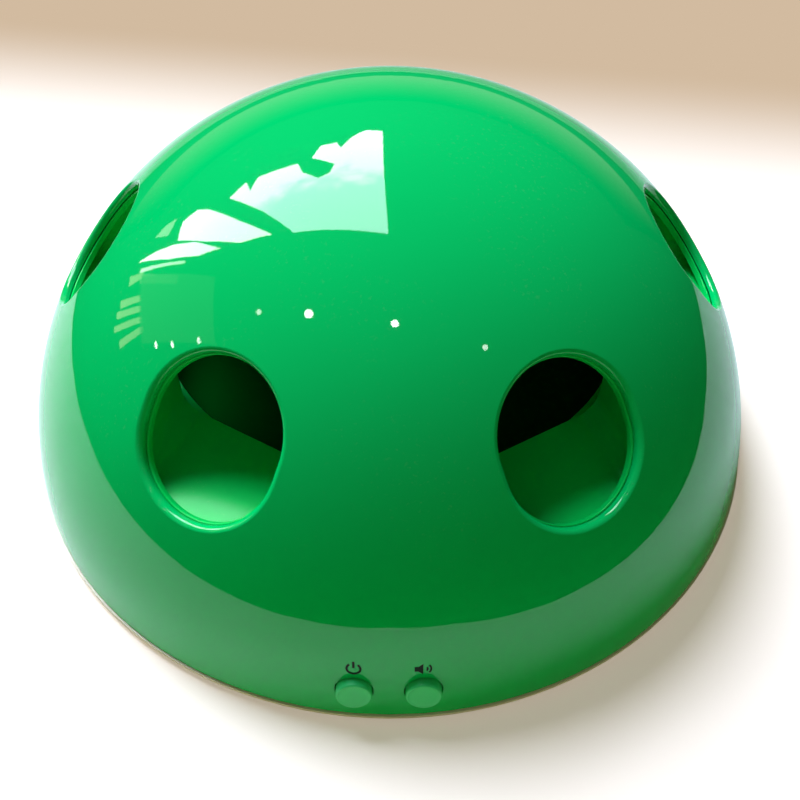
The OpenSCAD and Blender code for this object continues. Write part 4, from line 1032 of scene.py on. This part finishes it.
class CATTOY_OT_mouse(bpy.types.Operator):
    """Make the plush mouse on its arm: stuffed body, pile, ears, eyes, nose, whiskers and tail"""

    bl_idname = "cattoy.mouse"
    bl_label = "Plush mouse"

    def execute(self, context):
        self.pile(self.body(context))
        self.ears()
        self.face()
        self.tail()
        return {"FINISHED"}

    def axes(self):
        """From the mouse's own axes, x from rump to nose and z up, to the toy's."""
        at = (settings().plush.rump, 0, (BODY_LOW[2] + BODY_HIGH[2]) / 2)
        return Matrix.Rotation(MOUSE_AZIMUTH, 4, "Z") @ Matrix.Translation(at)

    def girth(self, t):
        """The mouse's radius, where t is 0 at the rump and 1 at the nose."""
        fullness = max(0, math.sin(math.pi * t ** 0.8)) ** 0.62
        return settings().plush.girth / 2 * fullness * (1 - 0.28 * t)

    def eye(self, side):
        """An eye's centre in the mouse's axes."""
        a, r = math.radians(EYE_TURN * side), self.girth(EYE_AT)
        return settings().plush.length * EYE_AT, math.sin(a) * r, math.cos(a) * r

    def near_seam(self, spots):
        """Distance of each point, in the mouse's axes, from the nearest of the body's seams."""
        turned = np.arctan2(spots[:, 1], spots[:, 2])
        turns = [np.abs((turned - math.radians(a) + math.pi) % math.tau - math.pi) for a in SEAMS]
        return np.hypot(spots[:, 1], spots[:, 2]) * np.minimum(1, np.min(turns, axis=0))

    def body(self, context):
        """A smaller copy of the solid, stuffed between its seams, then slotted for the arm."""
        s = settings().plush
        grow, ends, rings = 10.0, 0.0008, 48  # cloth settles best at some tens of centimetres
        rows = [(ends, 0)]
        for k in range(1, rings):
            t = (1 - math.cos(math.pi * k / rings)) / 2
            rows.append((ends + t * (s.length - 2 * ends), max(0.0002, self.girth(t) - s.inset)))
        rows.append((s.length - ends, 0))
        body = new_object("plush_body", *lathe(rows, 64, Matrix.Scale(grow, 4)), "Plush")
        remesh = body.modifiers.new("voxels", "REMESH")
        remesh.mode, remesh.voxel_size = "VOXEL", 0.0095
        baked(body, "plush_body")
        body.data.vertices.foreach_set("co", self.stuffed(context, body, s.swell * grow).ravel())
        smooth = body.modifiers.new("smooth", "SMOOTH")
        smooth.factor, smooth.iterations = 0.5, 3
        finer = body.modifiers.new("finer", "SUBSURF")
        finer.levels = finer.render_levels = 1
        baked(body, "plush_body")
        body.data.transform(self.axes() @ Matrix.Scale(1 / grow, 4))
        block = [self.axes() @ Vector((x, y, z)) for x in (-0.006, 0.0083)
                 for y in (-0.0034, 0.0034) for z in (-0.0044, 0.0044)]
        sides = [(0, 1, 3, 2), (4, 6, 7, 5), (0, 4, 5, 1), (2, 3, 7, 6), (0, 2, 6, 4), (1, 5, 7, 3)]
        cut_away(body, new_object("slot", block, sides, "Plush"), "plush_body")
        body.data.materials.clear()
        body.data.materials.append(material("Plush"))
        smooth_up_to(body, 60)
        carry(body, "mouse", "mouse_plush", "mouse_body")
        return body

    def stuffed(self, context, body, swell):
        """The body's points after cloth pressure has filled it, none moved by more than swell."""
        start = points_of(body.data)
        seam = self.near_seam(start)
        frames, pinned = 20, 0.007
        pins = body.vertex_groups.new(name="seams")
        pins.add([int(k) for k in np.flatnonzero(seam < pinned)], 1.0, "REPLACE")
        cloth = body.modifiers.new("stuffing", "CLOTH")
        c = cloth.settings
        c.quality, c.mass, c.use_pressure = 6, 0.15, True
        c.uniform_pressure_force = settings().plush.pressure
        c.vertex_group_mass, c.effector_weights.gravity = "seams", 0
        cloth.point_cache.frame_start, cloth.point_cache.frame_end = 1, frames
        for step in range(1, frames + 1):
            context.scene.frame_set(step)
        baked(body, "plush_body")
        context.scene.frame_set(1)
        move = np.nan_to_num(points_of(body.data) - start)
        size = np.maximum(1e-9, np.linalg.norm(move, axis=1))
        return start + move * np.minimum(1, swell / size)[:, None]

    def pile(self, body):
        """The plush pile: parted at the seams, thin round the eyes, and none in the slot."""
        s = settings().plush
        coat = link("plush_pile", body.data.copy())
        back = self.axes().inverted()
        spots = np.array([back @ v.co for v in coat.data.vertices])
        thick = np.clip(0.35 + self.near_seam(spots) / 0.0012, 0, 1)
        thick *= np.clip(1 - (spots[:, 0] / s.length - 0.9) * 5, 0.45, 1)
        nose = (s.length, 0, 0)
        for bare, size in ((self.eye(-1), 0.0019), (self.eye(1), 0.0019), (nose, 0.0021)):
            thick *= np.linalg.norm(spots - bare, axis=1) > size
        thick *= ~((spots[:, 0] < 0.011) & (abs(spots[:, 1]) < 0.0044)
                   & (abs(spots[:, 2]) < 0.0056))
        marks = coat.data.attributes.new("pile", "FLOAT", "POINT")
        marks.data.foreach_set("value", thick.astype(np.float32))
        lay = -(self.axes().to_3x3() @ Vector((1, 0, 0)))
        use_tree(coat, pile_tree(), Density=s.hairs * 1e6, Length=s.pile, Width=0.00013, Lay=lay,
                 Rise=0.55, Seed=s.seed, Material=material("Plush"))
        baked(coat, "plush_pile")
        coat.data.shade_smooth()
        carry(coat, "mouse", "mouse_plush", "mouse_body")

    def ears(self):
        """Cupped felt ears with a pink lining sewn into each."""
        s = settings().plush
        size, felt_thick, lift = s.girth * 0.205, 0.0008, 0.0002
        shares = (0.25, 0.45, 0.62, 0.76, 0.87, 0.95)
        lined, sewn = 0.76, 0.7  # shares of the ear's radius

        def cup(share, lower=0.0):
            return -0.00025 + 0.00085 * share ** 2 - lower

        felt = [(cup(0), 0)] + [(cup(q), q * size) for q in shares] + \
            [(cup(1, 0.00012), size * 0.99), (cup(1, 0.0004), size),
             (cup(1, 0.00068), size * 0.99)] + \
            [(cup(q, felt_thick), q * size) for q in shares[::-1]] + [(cup(0, felt_thick), 0)]
        lining = [(cup(0, -lift), 0)] + \
            [(cup(q * lined, -lift), q * lined * size) for q in shares] + \
            [(cup(lined, -0.0001), size * 0.77), (cup(lined, 0.0001), size * lined),
             (cup(0.4, lift), size * 0.4), (cup(0, lift), 0)]
        places = [self.axes() @ Matrix.Rotation(math.radians(42 * side), 4, "X")
                  @ Matrix.Translation((s.length * 0.56, 0, s.girth * 0.42))
                  @ Matrix.Rotation(math.radians(-20), 4, "Y") for side in (-1, 1)]
        for name, rows, finish_name, slot in (("plush_ears", felt, "Grey felt", "mouse_plush"),
                                              ("plush_ear_linings", lining, "Felt", "mouse_felt")):
            form = joined(lathe(rows, 48, at) for at in places)
            carry(new_object(name, *form, finish_name, 50), "mouse", slot, "mouse_ears")
        r = sewn * size
        rings = [[at @ Vector((cup(sewn, -0.00024), r * math.sin(a), r * math.cos(a)))
                  for a in circle(60)] for at in places]
        seam = thread("plush_ear_stitches", rings, "Thread", Pitch=0.0012, Length=0.00075,
                      Thread=0.00009)
        carry(seam, "mouse", "mouse_plush", "mouse_ears")

    def face(self):
        """Bead eyes, a felt nose and six whiskers."""
        s = settings().plush
        turns = np.linspace(0, math.pi, 17)
        bead = [(-0.0015 * math.cos(k), 0.0015 * math.sin(k)) for k in turns]
        eyes = joined(lathe(bead, 32, self.axes() @ Matrix.Translation(self.eye(side)))
                      for side in (-1, 1))
        carry(new_object("plush_eyes", *eyes, "Mouse eye", 60), "mouse", "mouse_eye", "mouse_eyes")
        nose = [(-0.0014 * math.cos(k), 0.0017 * math.sin(k) * (1 - 0.12 * math.cos(k)))
                for k in turns]
        at = self.axes() @ Matrix.Translation((s.length + 0.0001, 0, 0.0004))
        carry(new_object("plush_nose", *lathe(nose, 32, at), "Felt", 60), "mouse", "mouse_felt",
              "mouse_nose")
        whiskers = joined(self.whisker(side, math.radians(lift), math.radians(sweep))
                          for side in (-1, 1) for lift, sweep in ((16, 62), (2, 74), (-14, 66)))
        carry(new_object("plush_whiskers", *whiskers, "Whisker", 60), "mouse", "mouse_plush",
              "mouse_nose")

    def whisker(self, side, lift, sweep, long=0.011, droop=0.0018, thick=0.00013, steps=12):
        root = Vector((settings().plush.length * 0.92, side * self.girth(0.92) * 0.7,
                       0.0002 + 0.0008 * math.sin(lift)))
        way = Vector((math.cos(sweep) * math.cos(lift), side * math.sin(sweep) * math.cos(lift),
                      math.sin(lift)))
        shares = [k / steps for k in range(steps + 1)]
        up = Vector((0, 0, 1))
        line = [self.axes() @ (root + way * long * u - up * droop * u ** 2) for u in shares]
        return tube(line, [thick * (1 - 0.75 * u) for u in shares], 6, up)

    def tail(self, steps=80):
        """The tail: a tapered cord of three strands with a bound end."""
        line, radii = [], []
        for k in range(steps + 1):
            u = -0.08 + 1.08 * k / steps
            rise = 0.0066 + 0.0095 * math.sin(math.radians(75 * u))
            line.append(self.axes() @ Vector((0.0024 - 0.018 * u, 0, rise)))
            closing = 1 - min(1, (steps - k) / 2.5)
            bound = 0.35 + 0.65 * math.sqrt(1 - closing ** 2)
            radii.append(0.0013 * (1 - 0.55 * max(0, u)) * bound)
        across = self.axes().to_3x3() @ Vector((0, 1, 0))
        cord = tube(line, radii, 24, across, lobes=3, turns=7)
        carry(new_object("plush_tail", *cord, "Felt", 60), "mouse", "mouse_felt", "mouse_tail")


class CATTOY_OT_studio(bpy.types.Operator):
    """Make the pale floor, the soft lamps, the windows that the gloss reflects, and the camera"""

    bl_idname = "cattoy.studio"
    bl_label = "Studio"

    def execute(self, context):
        s = settings().studio
        scene = context.scene
        scene.view_settings.view_transform = "Standard"
        self.room(scene, s)
        self.floor()
        self.lamps(s)
        self.windows(s)
        self.camera(scene, s)
        return {"FINISHED"}

    def room(self, scene, s):
        """The room: pale to the camera, soft fill for colours, and dim where the gloss looks."""
        scene.world = bpy.data.worlds.new("Room")
        scene.world.use_nodes = True
        tree = scene.world.node_tree
        tree.nodes.clear()
        path = add(tree, "ShaderNodeLightPath").outputs
        way = parts(tree, coordinates(tree, "Generated"))
        dim = mix(tree, ramp(tree, way[2], -0.2, 0.9), (0.012, 0.016, 0.014), (0.05, 0.065, 0.055))
        pale = mix(tree, ramp(tree, way[1], 0.0, 0.2), WHITE, BEIGE)
        fill, gloss, seen = [
            add(tree, "ShaderNodeBackground", {"Color": tone, "Strength": strength}).outputs[0]
            for tone, strength in (((1, 0.95, 0.6, 1), s.fill), (dim, 1.0), (pale, 1.0))]
        inner = add(tree, "ShaderNodeMixShader", {0: path["Is Glossy Ray"], 1: fill, 2: gloss})
        outer = add(tree, "ShaderNodeMixShader", {0: path["Is Camera Ray"], 1: inner.outputs[0],
                                                  2: seen})
        add(tree, "ShaderNodeOutputWorld", {0: outer.outputs[0]})

    def floor(self):
        """The floor that the camera sees, and the tabletop that lights and reflects in the toy."""
        tree, shader, at = self.pale_finish("Pale floor", (0.90, 0.88, 0.84), 0.31)
        # Behind the toy the floor turns to warm beige
        back = math_node(tree, "MULTIPLY_ADD", at[0], 0.15, at[1])
        beige = add(tree, "ShaderNodeEmission", {"Color": (*BEIGE, 1), "Strength": 1.0})
        both = add(tree, "ShaderNodeMixShader", {0: ramp(tree, back, 0.10, 0.26),
                                                 1: shader.outputs[0], 2: beige.outputs[0]})
        tree.links.new(both.outputs[0], tree.nodes["Material Output"].inputs["Surface"])
        # The tabletop has painted shade, darker to the right and to the back, and lights the toy in
        # a warmer tone
        tree, shader, at = self.pale_finish("Tabletop", (0.80, 0.82, 0.84), 0)
        sides = mix(tree, ramp(tree, at[0], -0.2, 0.22), (0.97, 1.06, 1.07), (0.78, 0.93, 0.9))
        pale = shader.inputs["Base Color"].links[0].from_socket
        pale = mix(tree, 1.0, pale, sides, "MULTIPLY")
        pale = mix(tree, ramp(tree, at[1], 0.10, 0.42), pale, (0.17, 0.22, 0.18))
        path = add(tree, "ShaderNodeLightPath").outputs
        pale = mix(tree, path["Is Diffuse Ray"], pale, (0.82, 0.74, 0.36))
        wire(tree, shader, Base_Color=pale)
        ground = self.sheet("floor", [(-12, -12, 0), (12, -12, 0), (12, 12, 0), (-12, 12, 0)],
                            "Pale floor", "glossy", "diffuse", "shadow")
        rim = [(x, y, -0.0004) for x, y in TABLE_EDGE]
        table = self.sheet("tabletop", rim, "Tabletop", "camera", "shadow", "transmission")

    def pale_finish(self, name, base, glow):
        """A pale, slightly clouded finish: its tree, its shader, and x, y and z on the piece."""
        tree, shader = finish(name, 0.55, Specular_IOR_Level=0.2, Emission_Color=(1, 0.85, 0.77, 1),
                              Emission_Strength=glow)
        where = coordinates(tree)
        shade(tree, shader, noise(tree, where, 2.0, 1.0)[0], base, 0.02)
        return tree, shader, parts(tree, where)

    def sheet(self, name, outline, finish_name, *hidden):
        """A flat piece of the studio, hidden from some kinds of ray."""
        made = new_object(name, outline, [range(len(outline))], finish_name)
        for ray in hidden:
            setattr(made, "visible_" + ray, False)
        return made

    def lamps(self, s):
        """Two soft lamps: (name, azimuth, rise, angular size, strength, tint)."""
        for name, azimuth, rise, size, strength, tint in (
                ("Key", 122, 48, 32, s.key, (0.86, 0.88, 1.0)),
                ("Front", -88, 14, 110, s.front, (1.0, 0.95, 0.42))):
            sun = bpy.data.lights.new(name, "SUN")
            sun.energy, sun.angle, sun.color = strength, math.radians(size), tint
            lamp = link(name, sun)
            a, e = math.radians(azimuth), math.radians(rise)
            towards = Vector((math.cos(a) * math.cos(e), math.sin(a) * math.cos(e), math.sin(e)))
            lamp.rotation_mode = "QUATERNION"
            lamp.rotation_quaternion = towards.to_track_quat("Z", "Y")
            lamp.visible_glossy = False

    def windows(self, s):
        """Bright panels and small spots overhead that only the gloss sees: (x, y) on one plane."""
        high, slat_end = 1.2, -3.75
        panes = list(PANES)
        for k, (x, y, slope) in enumerate(SLATS):
            end = y - slope * (slat_end - x)
            slat = [(x, y), (slat_end, end), (slat_end, end - 0.12), (x, y - 0.3)]
            panes.append((f"slat_{k}", slat, (1.0, 1.0, 0.62), 2.6))
        for k, (x, y, r, strength) in enumerate(SPOTS):
            disc = [(x + r * math.cos(a), y + r * math.sin(a)) for a in circle(24)]
            panes.append((f"spot_{k}", disc, WHITE, strength))
        for name, outline, tint, strength in panes:
            self.glow(name, [(x, y, high) for x, y in outline], tint, strength * s.panels)
        wall = [(-3.2, 2.6, 0), (3.2, 2.6, 0), (3.2, 2.6, 1.0), (-3.2, 2.6, 1.0)]
        self.glow("wall_back", wall, (0.62, 0.60, 0.52), 0.62 * s.panels)

    def glow(self, name, outline, tint, strength):
        """A glowing panel: the sky has clouds, and the back wall fades upwards and aside."""
        made = bpy.data.materials.new(name)
        made.use_nodes = True
        tree = made.node_tree
        tree.nodes.clear()
        tone, power = (*tint, 1), strength
        if name == "wall_back":
            at = parts(tree, coordinates(tree))
            power = times(tree, ramp(tree, at[2], 1.0, 0.0), strength)
            aside = ramp(tree, math_node(tree, "ABSOLUTE", at[0]), 3.1, 1.4)
            power = times(tree, power, aside)
        if name == "window_sky":
            # Blue sky in the near part, white clouds with ragged edges in the far part
            where = coordinates(tree)
            lumps = times(tree, noise(tree, where, 4.5, 4.0, 0.6)[0], 0.9)
            edge = plus(tree, parts(tree, where)[1], lumps)
            tone = mix(tree, ramp(tree, edge, 1.08, 1.36), (0.50, 0.62, 0.72), WHITE)
        light = add(tree, "ShaderNodeEmission", {"Color": tone, "Strength": power})
        add(tree, "ShaderNodeOutputMaterial", {0: light.outputs[0]})
        self.sheet(name, outline, name, "camera", "diffuse", "shadow", "transmission")

    def camera(self, scene, s):
        """The camera, from the fit of the dome's and the holes' outlines to the photograph."""
        data = bpy.data.cameras.new("Camera")
        data.lens, data.sensor_width, data.clip_start = s.lens, 36, 0.01
        camera = link("Camera", data)
        eye, aim = Vector((0.0005, -0.2107, 0.2291)), Vector((0.0032, 0, -0.0058))
        ahead = (aim - eye).normalized()
        right = ahead.cross(Vector((0, 0, 1))).normalized()
        up = right.cross(ahead)
        c, k = math.cos(s.roll), math.sin(s.roll)
        turned = Matrix((c * right + k * up, c * up - k * right, -ahead)).transposed()
        camera.matrix_world = Matrix.Translation(eye) @ turned.to_4x4()
        scene.camera = camera


STEPS = [CATTOY_OT_finishes, CATTOY_OT_dome, CATTOY_OT_sleeves, CATTOY_OT_base, CATTOY_OT_buttons,
         CATTOY_OT_drive, CATTOY_OT_power, CATTOY_OT_mouse, CATTOY_OT_studio]


class CATTOY_PT_panel(bpy.types.Panel):
    """The toy's steps and settings"""

    bl_idname = "CATTOY_PT_panel"
    bl_label = "Cat Toy"
    bl_space_type = "VIEW_3D"
    bl_region_type = "UI"
    bl_category = "Cat Toy"

    def draw(self, context):
        for part in ("shell", "colours", "plush", "studio"):
            box = self.layout.box()
            box.label(text=part.capitalize())
            sizes = getattr(settings(), part)
            for name in sizes.__annotations__:
                box.prop(sizes, name)
        for step in STEPS:
            self.layout.operator(step.bl_idname)


CLASSES = [CatToyShell, CatToyColours, CatToyPlush, CatToyStudio, CatToySettings, *STEPS,
           CATTOY_PT_panel]


def register():
    for cls in CLASSES:
        bpy.utils.register_class(cls)
    bpy.types.Scene.cat_toy = PointerProperty(type=CatToySettings)


def unregister():
    del bpy.types.Scene.cat_toy
    for cls in reversed(CLASSES):
        bpy.utils.unregister_class(cls)


def main():
    register()
    for step in STEPS:
        category, name = step.bl_idname.split(".")
        getattr(getattr(bpy.ops, category), name)()


if __name__ == "__main__":
    main()
